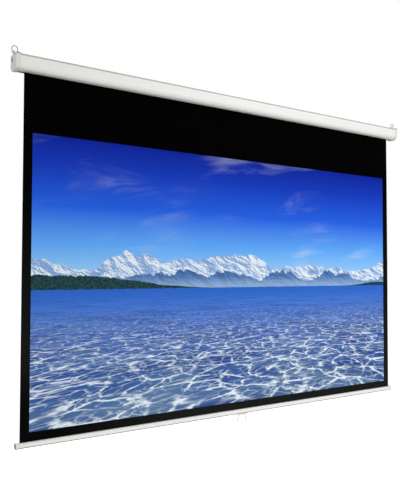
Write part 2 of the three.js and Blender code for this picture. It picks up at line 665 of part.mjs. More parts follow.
// The loop's lower bar passes through the ear, where it has slid to one side: Z is counted from there
function hangingLoop() {
  const half = LOOP_WIDTH / 2;
  const path = new THREE.Path();
  path.moveTo(-half, LOOP_CORNER);
  path.quadraticCurveTo(-half, 0, LOOP_CORNER - half, 0);
  path.lineTo(half - LOOP_CORNER, 0);
  path.quadraticCurveTo(half, 0, half, LOOP_CORNER);
  path.lineTo(half, LOOP_HEIGHT - half);
  path.absarc(0, LOOP_HEIGHT - half, half, 0, Math.PI, false);
  path.closePath();
  return wireLoop(path, LOOP_WIRE_RADIUS);
}

// Assembly
function mesh(name, geometry, material) {
  const object = new THREE.Mesh(geometry, material);
  object.name = name;
  return object;
}

function placed(object, x, y, z) {
  object.position.set(x, y, z);
  return object;
}

function caseGroup() {
  const group = new THREE.Group();
  group.add(mesh('case_shell', caseShell(), casePaint));
  group.add(placed(mesh('bearing_bush', bearingBush(), nylon), 0, rollerY, 0));
  for (const [name, side] of SIDES) {
    group.add(mesh(`end_cap_${name}`, endCap(side), capPlastic));
    group.add(mesh(`bracket_${name}`, bracket(side), platedSteel));
    for (const [port, y, z] of PORTS) {
      const seat = capOuter + SEAT_GAP;
      const body = screw(
        CAP_SCREW_HEAD_RADIUS, CAP_SCREW_HEAD_HEIGHT, CAP_SCREW_SHANK_RADIUS,
        seat - caseHalf + CAP_SCREW_GRIP, side);
      group.add(placed(mesh(`cap_screw_${name}_${port}`, body, platedSteel), side * seat, y, z));
    }
  }
  return group;
}

function motorGroup() {
  const group = placed(new THREE.Group(), clothX, rollerY, 0);
  group.add(mesh('spring_shaft', springShaft(), platedSteel));
  group.add(mesh('spring_anchor', sleeve([
    [shaftBore, anchorStart], [ANCHOR_RADIUS, anchorStart],
    [ANCHOR_RADIUS, anchorStart + ANCHOR_LENGTH], [shaftBore, anchorStart + ANCHOR_LENGTH],
  ], ROUND_SIDES), nylon));
  group.add(mesh('torsion_spring', torsionSpring(), wireSteel));
  group.add(mesh('ratchet_disc', ratchetDisc(), platedSteel));
  return group;
}

function rollerGroup() {
  const group = placed(new THREE.Group(), clothX, rollerY, 0);
  const tube = ringAlongX(TUBE_RADIUS - TUBE_WALL, TUBE_RADIUS, -tubeHalf, tubeHalf);
  const wraps = ringAlongX(TUBE_RADIUS + SEAT_GAP, wrapRadius, -clothWidth / 2, clothWidth / 2);
  const support = ringAlongX(shaftBore, plugRadius, supportStart, supportStart + SUPPORT_LENGTH);
  group.add(mesh('roller_tube', tube, rollerAluminium));
  group.add(mesh('fabric_wraps', wraps, blackCloth));
  group.add(mesh('idle_plug', idlePlug(), nylon));
  group.add(mesh('idle_pin', idlePin(), platedSteel));
  group.add(mesh('lock_plug', lockPlug(), nylon));
  group.add(mesh('shaft_support', support, nylon));
  for (const [name, angle] of PAWLS) {
    const [y, z] = onPawlCircle(PAWL_PIVOT_RADIUS, angle);
    group.add(placed(mesh(`pawl_pin_${name}`, pawlPin(), platedSteel), 0, y, z));
    group.add(mesh(`pawl_${name}`, pawl(angle), platedSteel));
  }
  return group;
}

function clothGroup() {
  const group = placed(new THREE.Group(), clothX, clothFrontY, 0);
  const front = COATING_THICKNESS + BOND_LINE;
  const half = clothWidth / 2;
  const backing = boxBetween([-half, front, barTop + SEAT_GAP], [half, clothThickness, 0]);
  group.add(mesh('screen_fabric', backing, blackCloth));
  const pictureTop = caseBottom - BLACK_DROP;
  const coating = boxBetween(
    [-PICTURE_WIDTH / 2, 0, pictureTop - PICTURE_HEIGHT], [PICTURE_WIDTH / 2, COATING_THICKNESS, pictureTop]);
  group.add(mesh('viewing_surface', coating, pictureCoating));
  return group;
}

function smallScrew() {
  return screw(
    SMALL_SCREW_HEAD_RADIUS, SMALL_SCREW_HEAD_HEIGHT, SMALL_SCREW_SHANK_RADIUS, SMALL_SCREW_LENGTH, 1);
}

function barGroup() {
  const group = placed(new THREE.Group(), clothX, clothY, barTop);
  group.add(mesh('bottom_bar', bottomBar(), casePaint));
  group.add(mesh('fabric_hem', fabricHem(), blackCloth));
  group.add(mesh('hem_rod', hemRod(), wireSteel));
  group.add(placed(mesh('handle_bracket', handleBracket(), bracketPaint), handleX, 0, 0));
  for (const [name, side] of SIDES) {
    const capScrew = mesh(`bar_cap_screw_${name}`, smallScrew().rotateZ(Math.PI / 2), platedSteel);
    const plateScrew = mesh(`bracket_screw_${name}`, smallScrew().rotateY(Math.PI / 2), platedSteel);
    group.add(mesh(`bar_cap_${name}`, barCap(side), barCapPlastic));
    group.add(placed(capScrew, side * capScrewX, BAR_DEPTH / 2 + SEAT_GAP, chamberMiddle));
    group.add(placed(
      plateScrew,
      handleX + side * handleScrewX, 0, -BAR_HEIGHT - HANDLE_PLATE - 2 * SEAT_GAP));
  }
  group.add(placed(mesh('pull_handle', pullHandle(), handlePlastic), handleX, 0, handleAxisZ));
  return group;
}

const screen = new THREE.Group();
screen.add(caseGroup(), motorGroup(), rollerGroup(), clothGroup(), barGroup());
for (const [name, side] of SIDES) {
  const loop = mesh(`hanging_loop_${name}`, hangingLoop(), wireSteel);
  screen.add(placed(loop, side * earMiddle + LOOP_SLIDE, clothY, earHoleZ));
}

export default screen;
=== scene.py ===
"""A manual pull-down projector screen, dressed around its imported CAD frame.

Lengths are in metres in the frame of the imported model: +X runs along the case, +Y goes into the
wall that the case hangs on, +Z is up, and the origin is the middle of the case's flat back.
The section of a long piece is drawn as (y, z) points, anticlockwise as seen from the right end.
"""

import json
import logging
import math
from collections.abc import Callable, Iterable, Sequence
from dataclasses import dataclass
from enum import Enum
from typing import NamedTuple

import bmesh
import bpy
from mathutils import Matrix, Vector


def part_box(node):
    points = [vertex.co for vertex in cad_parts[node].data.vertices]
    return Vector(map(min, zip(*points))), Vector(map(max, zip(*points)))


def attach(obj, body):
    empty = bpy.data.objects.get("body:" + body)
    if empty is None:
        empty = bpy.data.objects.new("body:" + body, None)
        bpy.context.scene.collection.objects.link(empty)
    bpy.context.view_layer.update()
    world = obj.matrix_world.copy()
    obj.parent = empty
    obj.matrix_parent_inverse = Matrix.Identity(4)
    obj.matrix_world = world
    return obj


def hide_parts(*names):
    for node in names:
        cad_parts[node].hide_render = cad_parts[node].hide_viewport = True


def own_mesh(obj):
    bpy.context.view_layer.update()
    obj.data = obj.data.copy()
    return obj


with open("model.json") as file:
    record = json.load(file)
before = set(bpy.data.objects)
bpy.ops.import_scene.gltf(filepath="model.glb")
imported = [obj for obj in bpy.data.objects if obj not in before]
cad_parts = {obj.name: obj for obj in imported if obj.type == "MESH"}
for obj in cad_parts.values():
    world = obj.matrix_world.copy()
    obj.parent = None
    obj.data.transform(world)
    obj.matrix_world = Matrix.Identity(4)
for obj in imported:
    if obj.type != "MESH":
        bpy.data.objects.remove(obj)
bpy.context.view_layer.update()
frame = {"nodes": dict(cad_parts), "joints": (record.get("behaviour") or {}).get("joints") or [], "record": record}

FULL_TURN = 360.0
SMOOTH_UNDER = math.radians(32)
SAME_POINT = 1e-7
SAME_BEVEL_POINT = 1e-6
SAME_PLANE = 1e-5
PLAIN_GLOSS = 0.45
LOG = logging.getLogger("projector_screen")

Point = tuple[float, float]
Colour = tuple[float, float, float, float]
Value = "Signal | float"


class Slot(Enum):
    """The record's material slots that the pieces take."""

    CASE_PAINT = "case_paint"
    CAP_PLASTIC = "cap_plastic"
    BAR_CAP_PLASTIC = "bar_cap_plastic"
    HANDLE_PLASTIC = "handle_plastic"
    BLACK_CLOTH = "black_cloth"
    PICTURE_COATING = "picture_coating"
    WIRE_STEEL = "wire_steel"
    PLATED_STEEL = "plated_steel"
    PAINTED_STEEL = "painted_steel"
    ROLLER_ALUMINIUM = "roller_aluminium"


class Along(Enum):
    """The axis that a prism is extruded along, as the turn that takes X there."""

    X = Matrix.Identity(4)
    Z = Matrix(((0, 1, 0, 0), (0, 0, 1, 0), (1, 0, 0, 0), (0, 0, 0, 1)))


class Cut(Enum):
    """What a boolean does with the other solids."""

    AWAY = "DIFFERENCE"
    JOINED = "UNION"


@dataclass(frozen=True)
class Box:
    """The room that a CAD node takes."""

    low: Vector
    high: Vector

    @classmethod
    def of(cls, node: str) -> "Box":
        """Measure a node of the frame."""
        return cls(*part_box(node))

    @property
    def middle(self) -> Vector:
        """The box's centre."""
        return (self.low + self.high) / 2

    @property
    def size(self) -> Vector:
        """The box's three lengths."""
        return self.high - self.low

    @property
    def run(self) -> list[tuple[float, float, float]]:
        """The path along X that a section is carried on to become as long as the box."""
        return [(self.low.x, 0, 0), (self.high.x, 0, 0)]


class End(Enum):
    """The two ends of the screen, by the sign of X there."""

    LEFT = -1
    RIGHT = 1

    @property
    def word(self) -> str:
        """The end's name inside node and piece names."""
        return self.name.lower()

    def outer(self, room: Box) -> float:
        """Find where a room stops on X, on this end's side."""
        return room.high.x if self is End.RIGHT else room.low.x

    def inner(self, room: Box) -> float:
        """Find where a room stops on X, towards the middle of the screen."""
        return room.low.x if self is End.RIGHT else room.high.x


BODY_OF = {
    node: body
    for body, nodes in frame["record"]["behaviour"]["bodies"].items()
    for node in nodes
}


def tone(red: float, green: float, blue: float) -> Colour:
    """Turn an 8-bit screen colour into the linear one that a shader takes.

    Args:
        red: From 0 to 255, as are the others.
        green: See red.
        blue: See red.

    Returns:
        The linear colour, opaque.
    """
    toe, slope, offset, gamma = 0.04045, 12.92, 0.055, 2.4
    shares = [value / 255 for value in (red, green, blue)]
    linear = [s / slope if s <= toe else ((s + offset) / (1 + offset)) ** gamma for s in shares]
    return (*linear, 1.0)


class Signal:
    """A number that varies over a surface: a socket with Python's operators."""

    def __init__(self, graph: "NodeMaker", socket: bpy.types.NodeSocket) -> None:
        """Wrap an output socket of a graph."""
        self.graph = graph
        self.socket = socket

    def __add__(self, other: Value) -> "Signal":
        """Add a number or a signal."""
        return self.graph.maths("ADD", self, other)

    def __radd__(self, other: Value) -> "Signal":
        """Add to a number."""
        return self.graph.maths("ADD", other, self)

    def __sub__(self, other: Value) -> "Signal":
        """Take a number or a signal away."""
        return self.graph.maths("SUBTRACT", self, other)

    def __rsub__(self, other: Value) -> "Signal":
        """Be taken away from a number."""
        return self.graph.maths("SUBTRACT", other, self)

    def __mul__(self, other: Value) -> "Signal":
        """Multiply by a number or a signal."""
        return self.graph.maths("MULTIPLY", self, other)

    def __rmul__(self, other: Value) -> "Signal":
        """Multiply a number."""
        return self.graph.maths("MULTIPLY", other, self)

    def __truediv__(self, other: Value) -> "Signal":
        """Divide by a number or a signal."""
        return self.graph.maths("DIVIDE", self, other)

    def __rtruediv__(self, other: Value) -> "Signal":
        """Divide a number."""
        return self.graph.maths("DIVIDE", other, self)

    def __abs__(self) -> "Signal":
        """Drop the sign."""
        return self.graph.maths("ABSOLUTE", self)

    def __mod__(self, other: Value) -> "Signal":
        """Take the remainder, which is never negative."""
        return self.graph.maths("FLOORED_MODULO", self, other)

    def least(self, other: Value) -> "Signal":
        """The smaller of this and another."""
        return self.graph.maths("MINIMUM", self, other)

    def most(self, other: Value) -> "Signal":
        """The larger of this and another."""
        return self.graph.maths("MAXIMUM", self, other)

    def rise(self, low: Value, high: Value) -> "Signal":
        """Go smoothly from 0 at low to 1 at high.

        Args:
            low: Where the rise begins.
            high: Where it ends. With high under low it falls instead.

        Returns:
            A signal between 0 and 1.
        """
        settings = {"interpolation_type": "SMOOTHSTEP"}
        sockets = {"Value": self, "From Min": low, "From Max": high}
        return self.graph.signal("ShaderNodeMapRange", settings, sockets, "Result")


class NodeMaker:
    """Fills one empty node tree. Every node of this script is made here."""

    def __init__(self, tree: bpy.types.NodeTree) -> None:
        """Empty the tree and keep it."""
        tree.nodes.clear()
        self.tree = tree

    def node(self, kind: str, settings: dict | None = None, sockets: dict | None = None) -> bpy.types.Node:
        """Add a node.

        Args:
            kind: Blender's type name of the node.
            settings: Its properties, and stops as (place, colour) pairs for a ramp.
            sockets: Values or links by a socket's identifier or name.

        Returns:
            The node, wired up.
        """
        node = self.tree.nodes.new(kind)
        for key, value in (settings or {}).items():
            if key == "stops":
                self._set_stops(node.color_ramp, value)
            else:
                setattr(node, key, value)
        for key, value in (sockets or {}).items():
            named = [s for s in node.inputs if s.identifier == key]
            self._feed(named[0] if named else node.inputs[key], value)
        return node

    @staticmethod
    def _set_stops(ramp: bpy.types.ColorRamp, stops: Sequence[tuple[float, Colour]]) -> None:
        """Give a colour ramp its stops.

        Args:
            ramp: A new ramp, with its two first stops.
            stops: Places and colours, in order.
        """
        while len(ramp.elements) < len(stops):
            ramp.elements.new(1.0)
        for element, (place, colour) in zip(ramp.elements, stops):
            element.position = place
            element.color = colour

    def _feed(self, socket: bpy.types.NodeSocket, value: object) -> None:
        """Link a socket, or set its value.

        Args:
            socket: An input.
            value: A signal or an output to link, or else a plain value.
        """
        source = value.socket if isinstance(value, Signal) else value
        if isinstance(source, bpy.types.NodeSocket):
            self.tree.links.new(source, socket)
        else:
            socket.default_value = source

    def result(self, kind: str, settings: dict, sockets: dict, output: str) -> bpy.types.NodeSocket:
        """Add a node and keep one of its outputs, by its identifier or name."""
        node = self.node(kind, settings, sockets)
        return next(s for s in node.outputs if output in (s.identifier, s.name))

    def signal(self, kind: str, settings: dict, sockets: dict, output: str) -> Signal:
        """Add a node and wrap one of its outputs as a signal."""
        return Signal(self, self.result(kind, settings, sockets, output))

    def maths(self, operation: str, first: Value, second: Value = 0.0) -> Signal:
        """Add a Math node."""
        sockets = {"Value": first, "Value_001": second}
        return self.signal("ShaderNodeMath", {"operation": operation}, sockets, "Value")


@dataclass(frozen=True)
class Cloudy:
    """A kind of cloudy noise about 0.5.

    It has scale cells for each metre, detail octaves, finer ones as strong as roughness says, and
    it is warped by itself as far as distortion says.
    """

    scale: float
    detail: float = 2.0
    roughness: float = 0.5
    distortion: float = 0.0


class ShaderGraph(NodeMaker):
    """The nodes of one material, from object coordinates to the surface."""

    def __init__(self, name: str) -> None:
        """Start a material.

        Args:
            name: The material's name.
        """
        self.material = bpy.data.materials.new(name)
        self.material.use_nodes = True
        super().__init__(self.material.node_tree)
        self.place = self.result("ShaderNodeTexCoord", {}, {}, "Object")
        split = self.node("ShaderNodeSeparateXYZ", {}, {"Vector": self.place})
        self.x, self.y, self.z = (Signal(self, split.outputs[axis]) for axis in "XYZ")

    def vector(self, x: Value, y: Value, z: Value) -> bpy.types.NodeSocket:
        """Join three signals or numbers into a vector."""
        return self.result("ShaderNodeCombineXYZ", {}, {"X": x, "Y": y, "Z": z}, "Vector")

    def noise(self, where: bpy.types.NodeSocket, kind: Cloudy) -> Signal:
        """Add cloudy noise.

        Args:
            where: The vector that it is read at.
            kind: Its sizes.

        Returns:
            The noise as a signal.
        """
        sockets = {
            "Vector": where, "Scale": kind.scale, "Detail": kind.detail,
            "Roughness": kind.roughness, "Distortion": kind.distortion,
        }
        return self.signal("ShaderNodeTexNoise", {}, sockets, "Fac")

    def net(self, x: Value, y: Value, z: Value) -> Signal:
        """Add the distance to the nearest line of a random net with cells of about 1."""
        sockets = {"Vector": self.vector(x, y, z), "Scale": 1.0}
        return self.signal("ShaderNodeTexVoronoi", {"feature": "DISTANCE_TO_EDGE"}, sockets, "Distance")

    def stretched(self, x: float, y: float, z: float) -> bpy.types.NodeSocket:
        """Scale object coordinates by a factor for each axis."""
        sockets = {"Vector": self.place, "Vector_001": (x, y, z)}
        return self.result("ShaderNodeVectorMath", {"operation": "MULTIPLY"}, sockets, "Vector")

    def facing_up(self) -> Signal:
        """How far a surface faces up: 1 for a top, 0 for a wall."""
        normal = self.result("ShaderNodeNewGeometry", {}, {}, "Normal")
        return self.signal("ShaderNodeSeparateXYZ", {}, {"Vector": normal}, "Z")

    def mix(self, share: Value, first: object, second: object) -> bpy.types.NodeSocket:
        """Go from the first colour at 0 to the second at 1."""
        sockets = {"Factor_Float": share, "A_Color": first, "B_Color": second}
        return self.result("ShaderNodeMix", {"data_type": "RGBA"}, sockets, "Result_Color")

    def shaded(self, colour: object, light: Signal) -> bpy.types.NodeSocket:
        """Multiply a colour by a grey signal.

        Args:
            colour: A colour or a link to one.
            light: The signal.

        Returns:
            The lighter or darker colour.
        """
        plain = colour if isinstance(colour, bpy.types.NodeSocket) else colour[:3]
        sockets = {"Vector": plain, "Vector_001": self.vector(light, light, light)}
        return self.result("ShaderNodeVectorMath", {"operation": "MULTIPLY"}, sockets, "Vector")

    def ramp(self, share: Signal, stops: Sequence[tuple[float, Colour]]) -> bpy.types.NodeSocket:
        """Look a colour up by a signal from 0 to 1."""
        return self.result("ShaderNodeValToRGB", {"stops": stops}, {"Fac": share}, "Color")

    def bump(self, height: Signal, distance: float) -> bpy.types.NodeSocket:
        """Turn a height from 0 to 1 into a normal, for a relief of that depth."""
        sockets = {"Strength": 1.0, "Distance": distance, "Height": height}
        return self.result("ShaderNodeBump", {}, sockets, "Normal")

    def surface(self, sockets: dict) -> bpy.types.Material:
        """End the graph in one shader.

        Args:
            sockets: The shader's values and links by name.

        Returns:
            The finished material.
        """
        shader = self.result("ShaderNodeBsdfPrincipled", {}, sockets, "BSDF")
        self.node("ShaderNodeOutputMaterial", {}, {"Surface": shader})
        return self.material


@dataclass(frozen=True)
class PowderPaint:
    """Satin paint on an extrusion, with faint orange peel, and tops darkened as if dusty and by painted shade.

    A grey line of painted shade covers what is above line_low, and another covers what is below
    foot_high. By default that is nothing of the screen.
    """

    name: str
    colour: Colour
    # painted shade: where the grey lines begin and end, and their grey
    line_low: float = 1.0
    foot_high: float = -10.0
    line_colour: Colour = tone(176, 176, 174)
    line_blur: float = 0.0002
    foot_blur: float = 0.0006
    dust: float = 0.5
    dust_colour: Colour = tone(176, 176, 170)
    roughness: float = 0.36
    peel_depth: float = 0.00003
    mottle: Cloudy = Cloudy(9, 4, 0.6)
    grain: Cloudy = Cloudy(700, 2)
    dust_clouds: Cloudy = Cloudy(26, 6, 0.65)
    scuff_marks: Cloudy = Cloudy(420, 3, 0.7)
    peel: Cloudy = Cloudy(900, 1)

    def build(self) -> bpy.types.Material:
        """Make the material.

        Returns:
            The finished material.
        """
        g = ShaderGraph(self.name)
        mottle = g.noise(g.stretched(0.15, 1, 1), self.mottle)
        grain = g.noise(g.place, self.grain)
        colour = g.shaded(self.colour, 0.955 + 0.05 * mottle + 0.035 * grain)
        # upward faces darker: partly dusty, partly painted shade
        dust = g.facing_up().rise(0.35, 0.95) * g.noise(g.place, self.dust_clouds).rise(0.2, 0.75)
        colour = g.mix(dust * self.dust, colour, self.dust_colour)
        # painted shade: a grey line over the top, in the case's rebate, where an upward edge falls dark
        line = g.z.rise(self.line_low - self.line_blur, self.line_low + self.line_blur)
        colour = g.mix(line, colour, self.line_colour)
        # painted shade: a grey line along the foot, where the bar's lower round falls dark
        foot = g.z.rise(self.foot_high + self.foot_blur, self.foot_high - self.foot_blur)
        colour = g.mix(foot, colour, self.line_colour)
        scuffs = g.noise(g.stretched(0.05, 1, 1), self.scuff_marks).rise(0.62, 0.72)
        return g.surface({
            "Base Color": colour,
            "Roughness": self.roughness + 0.1 * mottle + 0.12 * scuffs + 0.2 * dust,
            "Specular IOR Level": PLAIN_GLOSS,
            "Coat Weight": 0.08,
            "Coat Roughness": 0.3,
            "Normal": g.bump(g.noise(g.place, self.peel), self.peel_depth),
        })


@dataclass(frozen=True)
class EdgeGrime:
    """Painted shade on a case cap: a dark band along its top edge beside its ear, and along the wall."""

    top: float
    ear: float
    reach: float = 0.0055
    ear_half: float = 0.0125
    ear_blur: float = 0.002
    lip: Point = (0.0002, 0.0008)
    strength: float = 0.85
    colour: Colour = tone(104, 104, 97)

    def share(self, g: ShaderGraph) -> Signal:
        """Work out how much of it covers a place.

        Args:
            g: The graph of the cap's plastic.

        Returns:
            A share from 0 to 1.
        """
        # painted shade: dark along the wall, and along the top edge on both sides of the ear
        wall = g.y.rise(-0.9 * self.reach, -0.5 * self.reach)
        crown = g.z.rise(self.top - self.reach, self.top - 0.6 * self.reach)
        beside = abs(g.y - self.ear).rise(self.ear_half, self.ear_half + self.ear_blur)
        under = g.z.rise(self.top + self.lip[1], self.top + self.lip[0])
        return wall.most(crown * beside * under) * self.strength


@dataclass(frozen=True)
class EndGrime:
    """Painted shade on the outer ends of the bar's caps, where their end faces fall dark, and along their feet."""

    middle: float
    half: float
    foot_high: float
    foot_blur: float = 0.0006
    foot_strength: float = 0.8
    reach: float = 0.0026
    colour: Colour = tone(140, 140, 134)

    def share(self, g: ShaderGraph) -> Signal:
        """Work out how much of it covers a place.

        Args:
            g: The graph of the cap's plastic.

        Returns:
            A share from 0 to 1.
        """
        # painted shade: the end faces and the feet darker
        end = abs(g.x - self.middle).rise(self.half - self.reach, self.half - 0.4 * self.reach)
        foot = g.z.rise(self.foot_high + self.foot_blur, self.foot_high - self.foot_blur)
        return end.most(self.foot_strength * foot)


@dataclass(frozen=True)
class MouldedPlastic:
    """Plastic out of a spark-eroded mould, with a fine grain, and tops darkened as if dusty and by painted shade.
    """

    name: str
    colour: Colour
    roughness: float = 0.42
    dust: float = 0.5
    dust_colour: Colour = tone(140, 141, 134)
    grime: EdgeGrime | EndGrime | None = None
    grain_depth: float = 0.00004
    flow_lines: Cloudy = Cloudy(60, 4, 0.6)
    specks: Cloudy = Cloudy(1100, 2, 0.6)
    dust_clouds: Cloudy = Cloudy(90, 5, 0.6)
    grain: Cloudy = Cloudy(1500, 2, 0.6)

    def build(self) -> bpy.types.Material:
        """Make the material.

        Returns:
            The finished material.
        """
        g = ShaderGraph(self.name)
        flow = g.noise(g.stretched(1, 1, 0.3), self.flow_lines)
        speck = g.noise(g.place, self.specks)
        colour = g.shaded(self.colour, 0.945 + 0.06 * flow + 0.04 * speck)
        # painted shade along the caps' edges and ends
        if self.grime:
            colour = g.mix(self.grime.share(g), colour, self.grime.colour)
        # upward faces darker: partly dusty, partly painted shade
        dust = g.facing_up().rise(0.25, 0.9) * g.noise(g.place, self.dust_clouds).rise(0.1, 0.7)
        return g.surface({
            "Base Color": g.mix(dust * self.dust, colour, self.dust_colour),
            "Roughness": self.roughness + 0.12 * flow + 0.1 * dust,
            "Specular IOR Level": PLAIN_GLOSS,
            "Normal": g.bump(g.noise(g.place, self.grain), self.grain_depth),
        })


@dataclass(frozen=True)
class BrightMetal:
    """Bare or plated metal, brushed along one axis or clouded by its plating."""

    name: str
    colour: Colour
    brushed: tuple[float, float, float] = (1.0, 1.0, 1.0)
    scale: float = 300.0
    roughness: float = 0.3
    tarnish: Colour = tone(120, 118, 112)
    brush_depth: float = 0.00002
    clouds: Cloudy = Cloudy(130, 5, 0.6)

    def build(self) -> bpy.types.Material:
        """Make the material.

        Returns:
            The finished material.
        """
        g = ShaderGraph(self.name)
        lines = g.noise(g.stretched(*self.brushed), Cloudy(self.scale, 4, 0.65))
        clouds = g.noise(g.place, self.clouds).rise(0.42, 0.8)
        colour = g.shaded(self.colour, 0.9 + 0.16 * lines)
        return g.surface({
            "Base Color": g.mix(clouds * 0.5, colour, self.tarnish),
            "Metallic": 1.0,
            "Roughness": self.roughness + 0.16 * lines + 0.14 * clouds,
            "Normal": g.bump(lines, self.brush_depth),
        })


@dataclass(frozen=True)
class Weave:
    """A plain weave in X and Z: threads that go over and under each other."""

    pitch: float = 0.0007
    depth: float = 0.00005

    def height(self, g: ShaderGraph) -> Signal:
        """Add the relief of the threads.

        Args:
            g: The material that gets it.

        Returns:
            A height from 0 to 1.
        """
        column, row = g.x / self.pitch, g.z / self.pitch
        turn = (g.maths("FLOOR", column) + g.maths("FLOOR", row)) % 2.0
        warp = abs(g.maths("SINE", column * math.pi))
        weft = abs(g.maths("SINE", row * math.pi))
        return warp * turn + weft * (1 - turn)


@dataclass(frozen=True)
class BlackCloth:
    """The opaque black side of the cloth, matt, with a fine weave and a little lint."""

    name: str
    colour: Colour = tone(15, 15, 17)
    lint_colour: Colour = tone(38, 38, 41)
    gloss: float = 0.02
    weave: Weave = Weave()
    lint: Cloudy = Cloudy(380, 3, 0.7)
    wear: Cloudy = Cloudy(7, 4, 0.6)

    def build(self) -> bpy.types.Material:
        """Make the material.

        Returns:
            The finished material.
        """
        g = ShaderGraph(self.name)
        threads = self.weave.height(g)
        lint = g.noise(g.place, self.lint).rise(0.62, 0.8)
        wear = g.noise(g.place, self.wear)
        share = 0.35 * lint + 0.25 * wear * threads
        return g.surface({
            "Base Color": g.mix(share, self.colour, self.lint_colour),
            "Roughness": 0.86 + 0.1 * wear,
            "Specular IOR Level": self.gloss,
            "Normal": g.bump(threads, self.weave.depth),
        })


@dataclass(frozen=True)
class MountainChain:
    """One chain of mountains in the picture, in shares of the picture's height.

    Its foot stands base over the horizon, its peaks rise above that, and snow is how far down its
    white tops reach. Tones are its rock at the foot and at the top. Seed picks its outline.
    """

    seed: float
    base: float
    rise: float
    scale: float
    snow: float
    tones: tuple[Colour, Colour]


@dataclass(frozen=True)
class LakePicture:
    """A made-up lake under a mountain range, in shares of the picture's height.

    Across is 0 in the middle of the picture, and up is 0 at its foot and 1 at its top. Each noise
    is read in a slice of its own, so that no two run alike.
    """

    horizon: float = 0.47
    sky_stops: tuple = (
        (0.0, tone(204, 232, 252)), (0.1, tone(152, 206, 252)), (0.3, tone(98, 170, 253)),
        (0.55, tone(40, 98, 230)), (0.8, tone(26, 62, 192)), (1.0, tone(18, 39, 158)),
    )
    water_stops: tuple = (
        (0.0, tone(52, 112, 220)), (0.12, tone(64, 120, 222)), (0.4, tone(56, 98, 182)),
        (0.75, tone(66, 102, 164)), (1.0, tone(84, 114, 162)),
    )
    cloud_colour: Colour = tone(232, 244, 253)
    mist_colour: Colour = tone(186, 214, 242)
    snow_colour: Colour = tone(234, 243, 252)
    snow_shade: Colour = tone(132, 168, 222)
    wood_tones: tuple[Colour, Colour] = (tone(18, 42, 62), tone(52, 86, 84))
    glint_colour: Colour = tone(230, 242, 250)
    deep_colour: Colour = tone(28, 62, 138)
    sand_colour: Colour = tone(116, 146, 168)
    edge: float = 0.0012
    wood_edge: float = 0.001
    far: MountainChain = MountainChain(
        2.6, 0.02, 0.2, 2.2, 0.11, (tone(150, 186, 232), tone(96, 134, 196)))
    near: MountainChain = MountainChain(
        7.9, 0.006, 0.09, 3.4, 0.012, (tone(104, 146, 204), tone(54, 92, 156)))

    def sky(self, g: ShaderGraph, across: Signal, up: Signal) -> bpy.types.NodeSocket:
        """Paint the sky with high, drawn-out cloud.

        Args:
            g: The material's graph.
            across: Shares across.
            up: Shares up.

        Returns:
            The sky's colour.
        """
        colour = g.ramp((up - self.horizon) / (1 - self.horizon), self.sky_stops)
        drift = g.vector(across * 0.9 + up * 0.8, up * 4.6 - across * 0.9, 3.7)
        wisps = g.noise(drift, Cloudy(1.9, 10, 0.63, 0.5)).rise(0.5, 0.78)
        patches = g.noise(g.vector(across, up * 1.7, 9.2), Cloudy(1.6, 3)).rise(0.46, 0.66)
        haze = up.rise(self.horizon + 0.42, self.horizon + 0.1)
        share = wisps * (patches * 0.85 + 0.06) * (0.35 + 0.65 * haze)
        return g.mix(share.least(0.92), colour, self.cloud_colour)

    @staticmethod
    def folded(g: ShaderGraph, where: bpy.types.NodeSocket, scale: float, detail: float) -> Signal:
        """Fold cloudy noise at its middle into sharp crests, from 0 to 1."""
        return (1 - abs(g.noise(where, Cloudy(scale, detail, 0.55)) - 0.5) * 4.5).most(0)

    def mountains(self, g: ShaderGraph, across: Signal, up: Signal, under: object,
                  chain: MountainChain) -> bpy.types.NodeSocket:
        """Put one chain of mountains in front of what is painted already.

        Args:
            g: The material's graph.
            across: Shares across.
            up: Shares up.
            under: The colour behind the chain.
            chain: The chain.

        Returns:
            The colour with the chain.
        """
        seed, rough = chain.seed, chain.scale * 3.2
        massif = g.noise(g.vector(across, seed, 1.7), Cloudy(chain.scale * 0.5, 2)).rise(0.3, 0.7)
        peaks = self.folded(g, g.vector(across, seed, seed), chain.scale, 7)
        crest = self.horizon + chain.base + chain.rise * (0.3 + 0.7 * massif) * (0.25 + 0.75 * peaks)
        leant = across + up * 0.7
        slopes = self.folded(g, g.vector(leant, up * 1.3, seed), rough, 7)
        shifted = self.folded(g, g.vector(leant + 0.004, up * 1.3 + 0.003, seed), rough, 7)
        lit = (slopes - shifted).rise(-0.05, 0.07)
        rock = g.mix((up - self.horizon) / (chain.base + chain.rise), *chain.tones)
        rock = g.shaded(rock, 0.74 + 0.42 * lit)
        white = g.mix(lit, self.snow_shade, self.snow_colour)
        cover = ((up - crest) / chain.snow + 1 + 1.1 * (slopes - 0.55)).rise(0.1, 0.5)
        return g.mix((crest - up).rise(-self.edge, self.edge), under, g.mix(cover, rock, white))

    def shore(self, g: ShaderGraph, across: Signal, up: Signal, under: object) -> bpy.types.NodeSocket:
        """Put a low wooded point in front of the mountains, at the left.

        Args:
            g: The material's graph.
            across: Shares across.
            up: Shares up.
            under: The colour behind it.

        Returns:
            The colour with the point.
        """
        spread = across.rise(-0.12, -0.8) + 0.35 * across.rise(0.6, 0.88)
        woods = g.noise(g.vector(across, 4.4, 1.3), Cloudy(7, 9, 0.72))
        crest = self.horizon + 0.05 * spread * (0.35 + 1.2 * woods)
        leaves = g.noise(g.vector(across, up * 1.3, 6.1), Cloudy(90, 4, 0.7))
        colour = g.mix(leaves.rise(0.3, 0.7), *self.wood_tones)
        return g.mix((crest - up).rise(-self.wood_edge, self.wood_edge), under, colour)

